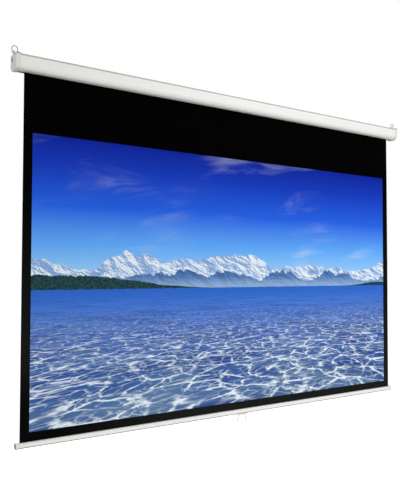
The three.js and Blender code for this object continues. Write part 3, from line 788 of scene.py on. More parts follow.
    def water(self, g: ShaderGraph, across: Signal, up: Signal) -> bpy.types.NodeSocket:
        """Paint the lake, whose ripples close up towards the far shore.

        Args:
            g: The material's graph.
            across: Shares across.
            up: Shares up.

        Returns:
            The water's colour.
        """
        depth = (self.horizon - up).most(0.004)
        near = depth / self.horizon
        far_x, far_y = across / depth, 1 / depth
        warp = g.noise(g.vector(far_x * 1.4, far_y * 1.6, 2.2), Cloudy(1, 3))
        swell = g.noise(g.vector(far_x * 0.5 + warp, far_y * 1.5, 5.5), Cloudy(1, 5, 0.6))
        ripples = g.noise(g.vector(far_x * 3.2, far_y * 8.0 + warp * 2, 1.1), Cloudy(1, 6, 0.62, 0.4))
        net_x = far_x * 2.6 + 1.1 * warp + 0.5 * ripples
        coarse = g.net(net_x, far_y * 3.4 + 1.3 * warp, swell * 1.5)
        fine = g.net(net_x * 2.3, far_y * 7.4 + 2 * warp, swell * 2)
        caustics = coarse.rise(0.085, 0.0) * 0.95 + fine.rise(0.1, 0.0) * 0.5
        colour = g.ramp(near, self.water_stops)
        colour = g.mix(swell.rise(0.6, 0.36) * (0.4 + 0.6 * near), colour, self.deep_colour)
        shallow = g.noise(g.vector(far_x * 0.8, far_y * 0.9, 8.8), Cloudy(1, 3)).rise(0.42, 0.7)
        colour = g.mix(shallow * near * 0.45, colour, self.sand_colour)
        light = caustics * ripples.rise(0.36, 0.58) * near.rise(0.04, 0.6)
        sparkle = ripples.rise(0.6, 0.74) * (0.25 + 0.5 * near)
        colour = g.mix((light + sparkle * 0.8).least(0.95), colour, self.glint_colour)
        mirrored = near.rise(0.14, 0.0) * ripples.rise(0.7, 0.3)
        return g.mix(mirrored * 0.2, colour, self.deep_colour)

    def paint(self, g: ShaderGraph, across: Signal, up: Signal) -> bpy.types.NodeSocket:
        """Paint the whole picture, from the sky to the near water.

        Args:
            g: The material's graph.
            across: Shares of the picture's height from its middle.
            up: Shares of the picture's height from its foot.

        Returns:
            The picture's colour.
        """
        colour = self.sky(g, across, up)
        for chain in (self.far, self.near):
            colour = self.mountains(g, across, up, colour, chain)
        mist = (up - self.horizon).rise(0.05, 0.0)
        colour = g.mix(mist * 0.4, colour, self.mist_colour)
        colour = self.shore(g, across, up, colour)
        waterline = (self.horizon - up).rise(-self.edge, self.edge)
        return g.mix(waterline, colour, self.water(g, across, up))


@dataclass(frozen=True)
class ScreenFront:
    """The cloth's front: a black mask round a matt white coating that shows a picture."""

    name: str
    low: Vector
    high: Vector
    mask_colour: Colour = tone(1, 1, 1)
    worn_colour: Colour = tone(37, 39, 38)
    gloss: float = 0.01
    edge: float = 0.0006
    weave: Weave = Weave()
    wear: Cloudy = Cloudy(6, 4, 0.6)
    picture: LakePicture = LakePicture()

    def build(self) -> bpy.types.Material:
        """Make the material.

        Returns:
            The finished material.
        """
        g = ShaderGraph(self.name)
        height = self.high.z - self.low.z
        across = (g.x - (self.low.x + self.high.x) / 2) / height
        up = (g.z - self.low.z) / height
        left, right, foot, top = (
            inwards.rise(-self.edge, self.edge)
            for inwards in (g.x - self.low.x, self.high.x - g.x, g.z - self.low.z, self.high.z - g.z))
        threads = self.weave.height(g)
        worn = g.noise(g.place, self.wear)
        handled = across.rise(-0.85, -0.25).most(up.rise(0.06, 0.3))
        dusty = up.rise(1.02, 0.0) * (0.6 + 0.4 * worn) * (0.2 + 0.8 * handled)
        mask = g.mix(dusty * (0.55 + 0.25 * threads), self.mask_colour, self.worn_colour)
        picture = g.shaded(self.picture.paint(g, across, up), 0.97 + 0.05 * threads)
        return g.surface({
            "Base Color": g.mix(left * right * foot * top, mask, picture),
            "Roughness": 0.8 + 0.12 * worn,
            "Specular IOR Level": self.gloss,
            "Normal": g.bump(threads, self.weave.depth),
        })


class Palette:
    """Every finish of the screen, made once."""

    def __init__(self, rebate_low: float, picture: Box, grime: EdgeGrime, bar_cap_shade: EndGrime) -> None:
        """Build the materials.

        Args:
            rebate_low: The height where the case's grey line of painted shade begins, in its rebate.
            picture: The room of the white coating.
            grime: The painted shade on the case's caps.
            bar_cap_shade: The painted shade on the bar's caps, which ends where the bar's grey line of painted
                shade ends.
        """
        self.case = PowderPaint("case_white_paint", tone(238, 238, 236), rebate_low).build()
        self.bar = PowderPaint(
            "bar_white_paint", tone(229, 229, 227), foot_high=bar_cap_shade.foot_high,
            line_colour=tone(132, 132, 129)).build()
        self.cap = MouldedPlastic("cap_grey_plastic", tone(226, 226, 221), dust=0.3, grime=grime).build()
        # painted shade: the dark grey on the floor of each cap's recess
        self.bung = MouldedPlastic("bung_dark_plastic", tone(112, 113, 106), dust=0.0).build()
        self.bar_cap = MouldedPlastic("bar_cap_plastic", tone(226, 226, 219), dust=0.2, grime=bar_cap_shade).build()
        self.handle = MouldedPlastic("handle_plastic", tone(238, 238, 236), 0.34, dust=0.1).build()
        self.nylon = MouldedPlastic("natural_nylon", tone(238, 232, 212), 0.5, dust=0.0).build()
        self.wire = BrightMetal(
            "drawn_wire", tone(74, 74, 71), (1, 1, 0.1), 500, 0.32, tone(58, 57, 54)).build()
        self.plated = BrightMetal("zinc_plate", tone(186, 188, 190), roughness=0.34).build()
        self.mill = BrightMetal("mill_aluminium", tone(205, 206, 208), (0.04, 1, 1), 600, 0.36).build()
        self.black = BlackCloth("black_cloth").build()
        self.front = ScreenFront("screen_front", picture.low, picture.high).build()


def arc(centre: Point, radius: float, start: float, end: float, steps: int) -> list[Point]:
    """Walk along a circle.

    Args:
        centre: The circle's centre.
        radius: Its radius.
        start: Where the walk begins, in degrees.
        end: Where it ends. The walk is clockwise where end is less than start.
        steps: How many pieces it has.

    Returns:
        The points, both ends included.
    """
    angles = [math.radians(start + (end - start) * i / steps) for i in range(steps + 1)]
    return [(centre[0] + radius * math.cos(a), centre[1] + radius * math.sin(a)) for a in angles]


def circle(centre: Point, radius: float, steps: int) -> list[Point]:
    """Draw a whole circle, with no point twice."""
    return arc(centre, radius, 0, FULL_TURN, steps)[:-1]


def rounded_rectangle(low: Point, high: Point, radius: float, steps: int) -> list[Point]:
    """Draw a rectangle with round corners.

    Args:
        low: Its lowest corner.
        high: Its highest corner.
        radius: The radius of its corners.
        steps: How many pieces each corner has.

    Returns:
        The points, anticlockwise.
    """
    corners = [
        ((high[0] - radius, low[1] + radius), -90), ((high[0] - radius, high[1] - radius), 0),
        ((low[0] + radius, high[1] - radius), 90), ((low[0] + radius, low[1] + radius), 180),
    ]
    return [point for centre, start in corners for point in arc(centre, radius, start, start + 90, steps)]


def softened(outline: Sequence[Point], radius: float, steps: int = 3, over: float = 25) -> list[Point]:
    """Round the sharp corners of a closed outline.

    Args:
        outline: The points.
        radius: The radius wanted, which a short side makes smaller.
        steps: How many pieces each round has.
        over: The least turn, in degrees, that counts as sharp.

    Returns:
        The outline with its corners rounded.
    """
    most_of_side = 0.45
    result = []
    for i, point in enumerate(outline):
        here = Vector(point)
        before = Vector(outline[i - 1]) - here
        after = Vector(outline[(i + 1) % len(outline)]) - here
        turn = math.pi - before.angle(after)
        if turn < math.radians(over):
            result.append(point)
            continue
        shorter = min(before.length, after.length)
        reach = min(radius * math.tan(turn / 2), shorter * most_of_side)
        start, end = here + before.normalized() * reach, here + after.normalized() * reach
        for k in range(steps + 1):
            t = k / steps
            place = start * (1 - t) ** 2 + here * 2 * t * (1 - t) + end * t**2
            result.append((place.x, place.y))
    return result


def strip(path: Sequence[Point], thickness: float) -> list[Point]:
    """Draw the closed outline of a thin sheet that follows a path.

    Args:
        path: The middle line, from end to end.
        thickness: The sheet's thickness.

    Returns:
        One side of the sheet, and the other side back.
    """
    sides: tuple[list[Point], list[Point]] = ([], [])
    for i, point in enumerate(path):
        ahead = Vector(path[min(i + 1, len(path) - 1)])
        behind = Vector(path[max(i - 1, 0)])
        along = (ahead - behind).normalized()
        across = Vector((along.y, -along.x)) * thickness / 2
        for side, sign in zip(sides, (1, -1)):
            place = Vector(point) + across * sign
            side.append((place.x, place.y))
    return sides[0] + sides[1][::-1]


def new_object(name: str, mesh: bpy.types.Mesh) -> bpy.types.Object:
    """Put a mesh into the scene as an object at the origin.

    Args:
        name: The object's name.
        mesh: Its mesh.

    Returns:
        The object.
    """
    piece = bpy.data.objects.new(name, mesh)
    bpy.context.scene.collection.objects.link(piece)
    return piece


def drop(pieces: Iterable[bpy.types.Object]) -> None:
    """Remove helper objects and their meshes.

    Args:
        pieces: The helpers.
    """
    for piece in list(pieces):
        mesh = piece.data
        bpy.data.objects.remove(piece)
        bpy.data.meshes.remove(mesh)


def keep(shape: bmesh.types.BMesh, mesh: bpy.types.Mesh, reach: float = SAME_POINT) -> None:
    """Weld a shape, turn its faces outwards and keep it as a mesh.

    Args:
        shape: The shape, which is used up.
        mesh: The mesh that it becomes.
        reach: How near two points are that become one.
    """
    bmesh.ops.remove_doubles(shape, verts=shape.verts, dist=reach)
    bmesh.ops.recalc_face_normals(shape, faces=shape.faces)
    shape.to_mesh(mesh)
    shape.free()


def opened(mesh: bpy.types.Mesh | None = None) -> bmesh.types.BMesh:
    """Start a shape.

    Args:
        mesh: What it is filled with, unless it starts empty.

    Returns:
        The shape.
    """
    shape = bmesh.new()
    if mesh is not None:
        shape.from_mesh(mesh)
    return shape


def from_shape(name: str, shape: bmesh.types.BMesh) -> bpy.types.Object:
    """Keep an edited shape as an object.

    Args:
        name: The object's name.
        shape: The shape, which is used up.

    Returns:
        The object.
    """
    mesh = bpy.data.meshes.new(name)
    keep(shape, mesh)
    return new_object(name, mesh)


def wall_between(shape: bmesh.types.BMesh, lower: Sequence[bmesh.types.BMVert],
                 upper: Sequence[bmesh.types.BMVert]) -> None:
    """Close the gap between two rings of as many points with faces.

    Args:
        shape: The shape that gets them.
        lower: The points of one ring.
        upper: The points of the other, in the same order.
    """
    for i, corner in enumerate(lower):
        j = (i + 1) % len(lower)
        shape.faces.new((corner, lower[j], upper[j], upper[i]))


def prism(name: str, outline: Sequence[Point], low: float, high: float,
          along: Along = Along.X) -> bpy.types.Object:
    """Extrude a closed outline.

    Args:
        name: The object's name.
        outline: Points across the axis: (y, z) along X, and (x, y) along Z.
        low: Where the prism begins on its axis.
        high: Where it ends.
        along: The axis.

    Returns:
        A closed solid.
    """
    shape = opened()
    ends = [[shape.verts.new((x, *point)) for point in outline] for x in sorted((low, high))]
    for verts in ends:
        shape.faces.new(verts)
    wall_between(shape, *ends)
    bmesh.ops.transform(shape, matrix=along.value, verts=shape.verts)
    return from_shape(name, shape)


def settled(piece: bpy.types.Object) -> bpy.types.Object:
    """Replace a piece's mesh by what its modifiers make of it.

    Args:
        piece: The piece.

    Returns:
        The same piece, without modifiers.
    """
    graph = bpy.context.evaluated_depsgraph_get()
    mesh = bpy.data.meshes.new_from_object(piece.evaluated_get(graph))
    piece.modifiers.clear()
    before, piece.data = piece.data, mesh
    bpy.data.meshes.remove(before)
    return piece


def combined(piece: bpy.types.Object, cut: Cut, others: Sequence[bpy.types.Object]) -> bpy.types.Object:
    """Join solids to a piece or cut them away, and drop them.

    Args:
        piece: The piece.
        cut: Whether they are joined or cut away.
        others: The solids.

    Returns:
        The same piece.
    """
    for other in others:
        boolean = piece.modifiers.new(cut.name.lower(), "BOOLEAN")
        boolean.operation = cut.value
        boolean.solver = "MANIFOLD"
        boolean.object = other
    settled(piece)
    drop(others)
    return piece


def smoothed(piece: bpy.types.Object) -> bpy.types.Object:
    """Shade a piece smooth, but for its sharp edges, with its flats kept flat.

    Args:
        piece: The piece.

    Returns:
        The same piece.
    """
    piece.data.shade_smooth()
    piece.data.set_sharp_from_angle(angle=SMOOTH_UNDER)
    weighted = piece.modifiers.new("weighted", "WEIGHTED_NORMAL")
    weighted.keep_sharp = True
    return settled(piece)


def bevelled(piece: bpy.types.Object, radius: float, chosen: Callable[[bmesh.types.BMEdge], bool],
             steps: int = 4) -> bpy.types.Object:
    """Round some of a piece's sharp edges.

    Args:
        piece: The piece.
        radius: The radius of the rounding.
        chosen: Says whether an edge is rounded.
        steps: How many faces the rounding has.

    Returns:
        The same piece.
    """
    shape = opened(piece.data)
    edges = [
        edge for edge in shape.edges
        if edge.is_manifold and edge.calc_face_angle() > SMOOTH_UNDER and chosen(edge)
    ]
    bmesh.ops.bevel(
        shape, geom=edges, offset=radius, segments=steps, profile=0.5, affect="EDGES", clamp_overlap=True)
    keep(shape, piece.data, SAME_BEVEL_POINT)
    return piece


def at_height(axis: int, *values: float) -> Callable[[bmesh.types.BMEdge], bool]:
    """Choose the edges that lie in one of some planes across an axis.

    Args:
        axis: 0, 1 or 2 for X, Y or Z.
        values: Where the planes are on it.

    Returns:
        A test for an edge.
    """
    def chosen(edge: bmesh.types.BMEdge) -> bool:
        """Say whether both ends of the edge lie in the same one of the planes."""
        return any(all(abs(vert.co[axis] - value) < SAME_PLANE for vert in edge.verts) for value in values)

    return chosen


def line(name: str, points: Sequence[Sequence[float]], closed: bool) -> bpy.types.Object:
    """Make a helper of edges alone, for a path or a section.

    Args:
        name: The helper's name.
        points: Points in space, or in a plane for a section.
        closed: Whether the last point is joined to the first.

    Returns:
        The helper.
    """
    count = len(points)
    edges = [(i, (i + 1) % count) for i in range(count if closed else count - 1)]
    mesh = bpy.data.meshes.new(name)
    mesh.from_pydata([Vector(point).to_3d() for point in points], edges, [])
    return new_object(name, mesh)


class Recipe(NodeMaker):
    """A Geometry Nodes tree with named inputs, whose results are kept as plain meshes."""

    def __init__(self, name: str, inputs: dict[str, str]) -> None:
        """Start a tree.

        Args:
            name: The tree's name.
            inputs: The socket type of each named input.
        """
        super().__init__(bpy.data.node_groups.new(name, "GeometryNodeTree"))
        interface = self.tree.interface
        self.identifiers = {
            label: interface.new_socket(label, in_out="INPUT", socket_type=kind).identifier
            for label, kind in inputs.items()
        }
        interface.new_socket("Geometry", in_out="OUTPUT", socket_type="NodeSocketGeometry")
        self.inputs = self.node("NodeGroupInput").outputs

    def geometry_of(self, label: str) -> bpy.types.NodeSocket:
        """Take the mesh of an input that is an object."""
        return self.result("GeometryNodeObjectInfo", {}, {"Object": self.inputs[label]}, "Geometry")

    def curve_of(self, label: str) -> bpy.types.NodeSocket:
        """Take the line of an input that is an object of edges alone."""
        return self.result("GeometryNodeMeshToCurve", {}, {"Mesh": self.geometry_of(label)}, "Curve")

    def close(self, geometry: bpy.types.NodeSocket) -> None:
        """End the tree in real geometry with its finish.

        Args:
            geometry: What the tree makes.
        """
        real = self.result("GeometryNodeRealizeInstances", {}, {"Geometry": geometry}, "Geometry")
        sockets = {"Geometry": real, "Material": self.inputs["Finish"]}
        dressed = self.result("GeometryNodeSetMaterial", {}, sockets, "Geometry")
        self.node("NodeGroupOutput", {}, {"Geometry": dressed})

    def make(self, name: str, values: dict[str, object]) -> bpy.types.Object:
        """Run the tree once.

        Args:
            name: The new piece's name.
            values: The value of each input.

        Returns:
            A piece with a plain mesh, without the modifier and the helpers.
        """
        piece = new_object(name, bpy.data.meshes.new(name))
        modifier = piece.modifiers.new(self.tree.name, "NODES")
        modifier.node_group = self.tree
        for label, value in values.items():
            modifier[self.identifiers[label]] = value
        settled(piece)
        drop(value for value in values.values() if isinstance(value, bpy.types.Object))
        keep(opened(piece.data), piece.data)
        return piece


class Sweep(Recipe):
    """Carries a closed section along a path, as an extruder or a wire bender does."""

    def __init__(self) -> None:
        """Build the tree."""
        super().__init__("sweep", {
            "Path": "NodeSocketObject", "Section": "NodeSocketObject",
            "Flat Path": "NodeSocketBool", "Finish": "NodeSocketMaterial",
        })
        sockets = {
            "Curve": self.curve_of("Path"), "Selection": self.inputs["Flat Path"], "Normal": (0, 1, 0),
        }
        turned = self.result("GeometryNodeSetCurveNormal", {"mode": "FREE"}, sockets, "Curve")
        sockets = {"Curve": turned, "Profile Curve": self.curve_of("Section"), "Fill Caps": True}
        self.close(self.result("GeometryNodeCurveToMesh", {}, sockets, "Mesh"))

    def piece(self, name: str, path: Sequence[Sequence[float]], section: Sequence[Point],
              finish: bpy.types.Material, closed: bool = False, flat: bool = True) -> bpy.types.Object:
        """Sweep a section along a path.

        Args:
            name: The new piece's name.
            path: Points in space.
            section: The outline, as (y, z) where the path runs along X.
            finish: Its material.
            closed: Whether the path is a ring.
            flat: Whether the path lies in a plane of X and Z.

        Returns:
            The piece, shaded smooth.
        """
        return smoothed(self.make(name, {
            "Path": line("path", path, closed), "Section": line("section", section, True),
            "Flat Path": flat, "Finish": finish,
        }))


class Place(NamedTuple):
    """Where a screw's head seats, and the way its head points."""

    seat: Vector
    aim: Vector


class Fasteners(Recipe):
    """Sets one screw at many places, each turned by its own amount about its axis."""

    SEED = 11

    def __init__(self) -> None:
        """Build the tree."""
        super().__init__("fasteners", {
            "Places": "NodeSocketObject", "Screw": "NodeSocketObject",
            "Seed": "NodeSocketInt", "Finish": "NodeSocketMaterial",
        })
        kept = {"data_type": "FLOAT_VECTOR"}
        aim = self.result("GeometryNodeInputNamedAttribute", kept, {"Name": "aim"}, "Attribute")
        sockets = {"Seed": self.inputs["Seed"], "Max_001": math.pi}
        amount = self.result("FunctionNodeRandomValue", {"data_type": "FLOAT"}, sockets, "Value_001")
        twist = self.result("ShaderNodeCombineXYZ", {}, {"Z": amount}, "Vector")
        turns = {
            socket: self.result("FunctionNodeEulerToRotation", {}, {"Euler": angles}, "Rotation")
            for socket, angles in (("Rotation", aim), ("Rotate By", twist))
        }
        both = self.result("FunctionNodeRotateRotation", {"rotation_space": "LOCAL"}, turns, "Rotation")
        sockets = {
            "Points": self.geometry_of("Places"), "Instance": self.geometry_of("Screw"), "Rotation": both,
        }
        self.close(self.result("GeometryNodeInstanceOnPoints", {}, sockets, "Instances"))

    def piece(self, name: str, places: Sequence[Place], screw: "PanHeadScrew",
              finish: bpy.types.Material) -> bpy.types.Object:
        """Put a screw at each place.

        Args:
            name: The new piece's name.
            places: The seats.
            screw: The screw's sizes.
            finish: Its material.

        Returns:
            All the screws as one piece.
        """
        seats = line("seats", [place.seat for place in places], False)
        aims = seats.data.attributes.new("aim", "FLOAT_VECTOR", "POINT")
        for item, place in zip(aims.data, places):
            item.vector = place.aim.to_track_quat("Z", "Y").to_euler()
        return smoothed(self.make(name, {
            "Places": seats, "Screw": screw.build(), "Seed": self.SEED, "Finish": finish,
        }))


@dataclass(frozen=True)
class PanHeadScrew:
    """A pan-head screw with a cross recess, its head seated at Z = 0 and pointing up."""

    head_radius: float
    head_height: float
    shank_radius: float
    length: float
    recess_share: float = 0.62
    slot_share: float = 0.2
    shoulder_share: float = 0.45
    seat_share: float = 0.96
    shank_share: float = 0.86
    tip_share: float = 0.35
    recess_floor: float = 0.3
    recess_top: float = 1.3
    recess_reach: Point = (0.45, 1.15)
    thinner: float = 0.999
    sides: int = 28
    dome_steps: int = 6

    def build(self) -> bpy.types.Object:
        """Turn the screw and cut its recess.

        Returns:
            The screw, without its finish.
        """
        shoulder = self.head_height * self.shoulder_share
        dome = [
            (self.head_radius * math.cos(t), shoulder + (self.head_height - shoulder) * math.sin(t))
            for t in (math.radians(90 * i / self.dome_steps) for i in range(self.dome_steps))
        ]
        profile = [
            (self.shank_radius * self.tip_share, -self.length),
            (self.shank_radius, -self.length * self.shank_share), (self.shank_radius, 0.0),
            (self.head_radius * self.seat_share, 0.0), *dome,
        ]
        shape = opened()
        rings = [
            [shape.verts.new((x, y, height)) for x, y in circle((0, 0), radius, self.sides)]
            for radius, height in profile
        ]
        for low, high in zip(rings, rings[1:]):
            wall_between(shape, low, high)
        shape.faces.new(rings[0])
        top = shape.verts.new((0, 0, self.head_height))
        for i in range(self.sides):
            shape.faces.new((rings[-1][i], rings[-1][(i + 1) % self.sides], top))
        screw = from_shape("screw", shape)
        return combined(screw, Cut.AWAY, [self._blade(turned) for turned in (False, True)])

    def _blade(self, turned: bool) -> bpy.types.Object:
        """Make one bar of the cross, which narrows as it goes down.

        Args:
            turned: Whether it lies along Y. That bar is a hair thinner, so that no faces coincide.

        Returns:
            The bar as a solid.
        """
        long, wide = self.head_radius * self.recess_share, self.head_radius * self.slot_share
        shape = opened()
        levels = []
        for share, reach in zip((self.recess_floor, self.recess_top), self.recess_reach):
            x, y = (wide * self.thinner, long * reach) if turned else (long * reach, wide)
            corners = [(-x, -y), (x, -y), (x, y), (-x, y)]
            levels.append([shape.verts.new((*corner, self.head_height * share)) for corner in corners])
        for level in levels:
            shape.faces.new(level)
        wall_between(shape, *levels)
        return from_shape("blade", shape)


class Workshop:
    """The finishes and recipes that every sub-assembly uses."""

    def __init__(self, palette: Palette) -> None:
        """Keep the palette and make the recipes.

        Args:
            palette: The finishes.
        """
        self.palette = palette
        self.sweep = Sweep()
        self.fasteners = Fasteners()

    def fit(self, piece: bpy.types.Object, slot: Slot, nodes: Sequence[str],
            finish: bpy.types.Material | None = None) -> bpy.types.Object:
        """Give a finished piece its body and material, and let it stand for CAD nodes.

        Args:
            piece: The piece.
            slot: Its material slot in the record. It is not used.
            nodes: The CAD nodes that it stands for, all on one body.
            finish: Its material, unless its recipe has set one.

        Returns:
            The same piece.
        """
        if finish is not None:
            piece.data.materials.clear()
            piece.data.materials.append(finish)
        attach(piece, BODY_OF[nodes[0]])
        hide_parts(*nodes)
        LOG.info("%s rides on %s for %s", piece.name, BODY_OF[nodes[0]], ", ".join(nodes))
        return piece

    def dress(self, node: str, finish: bpy.types.Material) -> None:
        """Give a CAD node that stays a better material.

        Args:
            node: The node.
            finish: The material.
        """
        shown = frame["nodes"][node]
        if not shown.material_slots:
            shown.data.materials.append(finish)
        for place in shown.material_slots:
            place.material = finish
        LOG.info("%s stays, as %s", node, finish.name)


@dataclass
class Case:
    """The long case: an extrusion, two end caps, their brackets and screws."""

    shop: Workshop
    wall: float = 0.0015
    lower_radius: float = 0.027
    rebate_height: float = 0.0075
    rebate_depth: float = 0.0025
    slot_width: float = 0.014
    port_bore: float = 0.0017
    port_wall: float = 0.0019
    port_sink: float = 0.0008
    port_gap: float = 35.0
    edge: float = 0.0004
    cap_plate: float = 0.0045
    cap_rim_wall: float = 0.0015
    cap_edge: float = 0.0011
    cap_gap: float = 0.0003
    rim_setback: float = 0.004
    ear_foot: float = 0.028
    ear_radius: float = 0.008
    ear_fillet: float = 0.003
    ear_hole: float = 0.0021
    ear_hole_height: float = 0.0082
    recess_radius: float = 0.0095
    recess_depth: float = 0.0025
    recess_back: float = 0.0165
    recess_top: float = 0.0185
    fine: int = 24
    port_steps: int = 8
    bore_steps: int = 20
    screw: PanHeadScrew = PanHeadScrew(0.0034, 0.002, 0.0014, 0.0168)

    def __post_init__(self) -> None:
        """Read the frame."""
        self.room = Box.of("case_shell")
        self.cloth_y = (Box.of("viewing_surface").low.y + Box.of("screen_fabric").high.y) / 2
        self.port_radius = self.port_bore + self.port_wall
        self.port_reach = self.port_radius - self.port_sink

    @property
    def corner(self) -> Point:
        """Centre of the round at the front lower edge."""
        return (self.room.low.y + self.lower_radius, self.room.low.z + self.lower_radius)

    @property
    def back_corner(self) -> Point:
        """Centre of the round at the back lower edge."""
        return (self.room.high.y - self.lower_radius, self.room.low.z + self.lower_radius)

    def ports(self) -> dict[str, tuple[Point, float, float]]:
        """Place the screw ports, one in the front upper corner and one in the back lower round.

        Returns:
            For each port its centre, the way its gap faces and half the angle that stands free.
        """
        reach, ring = self.port_reach, self.port_radius
        upper = (
            self.room.low.y + self.rebate_depth + self.wall + reach, self.room.high.z - self.wall - reach)
        inner = self.lower_radius - self.wall
        away = inner - reach
        shift = away * math.sqrt(0.5)
        lower = (self.back_corner[0] + shift, self.back_corner[1] - shift)
        bite = math.degrees(math.acos((inner**2 + away**2 - ring**2) / (2 * inner * away)))
        radial = inner * math.cos(math.radians(bite)) - away
        sideways = inner * math.sin(math.radians(bite))
        return {
            "upper": (upper, -45.0, 135.0 - math.degrees(math.acos(reach / ring))),
            "lower": (lower, 135.0, 180.0 - math.degrees(math.atan2(sideways, radial))),
        }

    def port_outline(self, port: str) -> list[Point]:
        """Walk round a screw port, from the wall into its bore and back to the wall.

        Args:
            port: The port's name.

        Returns:
            The points.
        """
        centre, facing, free = self.ports()[port]
        gap = self.port_gap
        return [
            *arc(centre, self.port_radius, facing - free, facing - gap, self.port_steps),
            *arc(centre, self.port_bore, facing - gap, facing + gap - FULL_TURN, self.bore_steps),
            *arc(centre, self.port_radius, facing + gap, facing + free, self.port_steps),
        ]

    def section(self) -> list[Point]:
        """Draw the extrusion's section: a wall all round, open at the slot for the cloth.

        Returns:
            The closed outline, with softened corners.
        """
        (front, bottom), (back, top) = self.room.low.yz, self.room.high.yz
        wall, radius, steps = self.wall, self.lower_radius, self.fine
        slot_front, slot_back = (self.cloth_y + side * self.slot_width / 2 for side in (-1, 1))
        step_y, step_z = front + self.rebate_depth, top - self.rebate_height
        middle = 45.0
        inner = radius - wall
        edge = Vector(self.port_outline("lower")[0]) - Vector(self.back_corner)
        bite = middle + math.degrees(math.atan2(edge.y, edge.x))
        over = slot_back - self.back_corner[0]
        starts = [math.degrees(math.asin(over / size)) - 90 for size in (radius, inner)]
        outer = [
            *arc(self.back_corner, radius, starts[0], 0, steps), (back, top),
            (step_y, top), (step_y, step_z), (front, step_z),
            *arc(self.corner, radius, 180, 270, steps), (slot_front, bottom),
        ]
        inside = [
            (slot_front, bottom + wall), *arc(self.corner, inner, 270, 180, steps),
            (front + wall, step_z - wall), (step_y + wall, step_z - wall),
            *self.port_outline("upper"), (back - wall, top - wall),
            *arc(self.back_corner, inner, 0, bite - middle, steps // 2),
            *self.port_outline("lower")[1:-1],
            *arc(self.back_corner, inner, -bite - middle, starts[1], steps // 2),
        ]
        return softened(outer + inside, self.edge)

    def extrusion(self) -> None:
        """Extrude the case."""
        finish = self.shop.palette.case
        piece = self.shop.sweep.piece("case_extrusion", self.room.run, self.section(), finish)
        self.shop.fit(piece, Slot.CASE_PAINT, ["case_shell"])

    def outline(self, grow: float) -> list[Point]:
        """Draw the case's outside grown by a clearance, cut off at the wall behind it.

        Args:
            grow: The clearance.

        Returns:
            The outline, which ends with its two upper corners.
        """
        front, top = self.room.low.y, self.room.high.z
        radius = self.lower_radius + grow
        at_wall = -math.degrees(math.acos(self.lower_radius / radius))
        return [
            *arc(self.corner, radius, 180, 270, self.fine),
            *arc(self.back_corner, radius, -90, at_wall, 20),
            (0.0, top + grow), (front - grow, top + grow),
        ]

    def ear(self, grow: float, top: float) -> list[Point]:
        """Draw the ear's flanks and round head, from its back foot to its front foot.

        Args:
            grow: How far the cap stands over the case.
            top: The ear's highest point.

        Returns:
            The points.
        """
        foot_z = self.room.high.z + grow
        centre = (self.cloth_y, top - self.ear_radius)
        lean = grow / (centre[1] - self.room.high.z)
        half = self.ear_foot / 2 - (self.ear_foot / 2 - self.ear_radius) * lean
        return [
            (self.cloth_y + half, foot_z), *arc(centre, self.ear_radius, 0, 180, 20),
            (self.cloth_y - half, foot_z),
        ]

    def end_cap(self, end: End) -> None:
        """Mould one end cap: a plate with its ear, a rim over the case and a recess.

        Args:
            end: The end that it closes.
        """
        node = f"end_cap_{end.word}"
        room = Box.of(node)
        outer = end.outer(room)
        inner = outer - end.value * self.cap_plate
        grow = self.cap_gap + self.cap_rim_wall
        plate_outline = self.outline(grow)
        plate_outline[-1:-1] = self.ear(grow, room.high.z)
        plate = prism(node + "_moulding", softened(plate_outline, self.ear_fillet, 6, 12), inner, outer)
        beyond = outer + end.value * self.cap_plate
        recess_at = (-self.recess_back, self.room.high.z - self.recess_top)
        hole_at = (self.cloth_y, self.room.high.z + grow + self.ear_hole_height)
        floor = outer - end.value * self.recess_depth
        behind = inner - end.value * self.cap_plate
        spots = [circle(hole_at, self.ear_hole, self.fine)]
        for at, _, _ in self.ports().values():
            spots.append(circle(at, self.screw.shank_radius + self.cap_gap, self.bore_steps))
        recess = prism("recess", circle(recess_at, self.recess_radius, 2 * self.fine), floor, beyond)
        holes = [prism("hole", spot, behind, beyond) for spot in spots]
        combined(plate, Cut.AWAY, [recess, *holes])
        bevelled(plate, self.cap_edge, at_height(0, outer))
        rim_end = end.inner(room)
        combined(plate, Cut.JOINED, [self._rim(grow, rim_end, inner + end.value * self.cap_plate / 2)])
        bevelled(plate, self.cap_gap, at_height(0, rim_end), 2)
        plate.data.materials.clear()
        for finish in (self.shop.palette.cap, self.shop.palette.bung):
            plate.data.materials.append(finish)
        self._paint_recess(plate, floor, recess_at)
        smoothed(plate)
        self.shop.fit(plate, Slot.CAP_PLASTIC, [node])

    def _rim(self, grow: float, low: float, high: float) -> bpy.types.Object:
        """Make the rim: a thin wall round the case, open at the back.

        Args:
            grow: How far its outside stands over the case.
            low: Where it begins on X.
            high: Where it ends.

        Returns:
            The rim as a solid.
        """
        outside, inside = (
            [point for point in self.outline(by) if point[0] < -self.rim_setback]
            for by in (grow, self.cap_gap))
        start = self.room.high.z
        ends = [(-self.rim_setback, start + self.cap_gap), (-self.rim_setback, start + grow)]
        feet = [self._where_back(grow), self._where_back(self.cap_gap)]
        ring = [*outside[-1:], *outside[:-1], *feet, *inside[:-1][::-1], inside[-1], *ends]
        return prism("rim", ring, low, high)

    def _where_back(self, grow: float) -> Point:
        """Find where the grown outline passes the place that the rim stops at.

        Args:
            grow: How far the outline stands over the case.

        Returns:
            The point.
        """
        radius = self.lower_radius + grow
        over = -self.rim_setback - self.back_corner[0]
        return (-self.rim_setback, self.back_corner[1] - math.sqrt(radius**2 - over**2))

    def _paint_recess(self, plate: bpy.types.Object, floor_x: float, centre: Point) -> None:
        """Give the recess's floor the second material: a dark grey that is painted shade.

        Args:
            plate: The cap.
            floor_x: Where the floor is on X.
            centre: The recess's centre.
        """
        for face in plate.data.polygons:
            middle = face.center
            near = math.hypot(middle.y - centre[0], middle.z - centre[1]) < self.recess_radius
            face.material_index = int(near and abs(middle.x - floor_x) < self.edge)

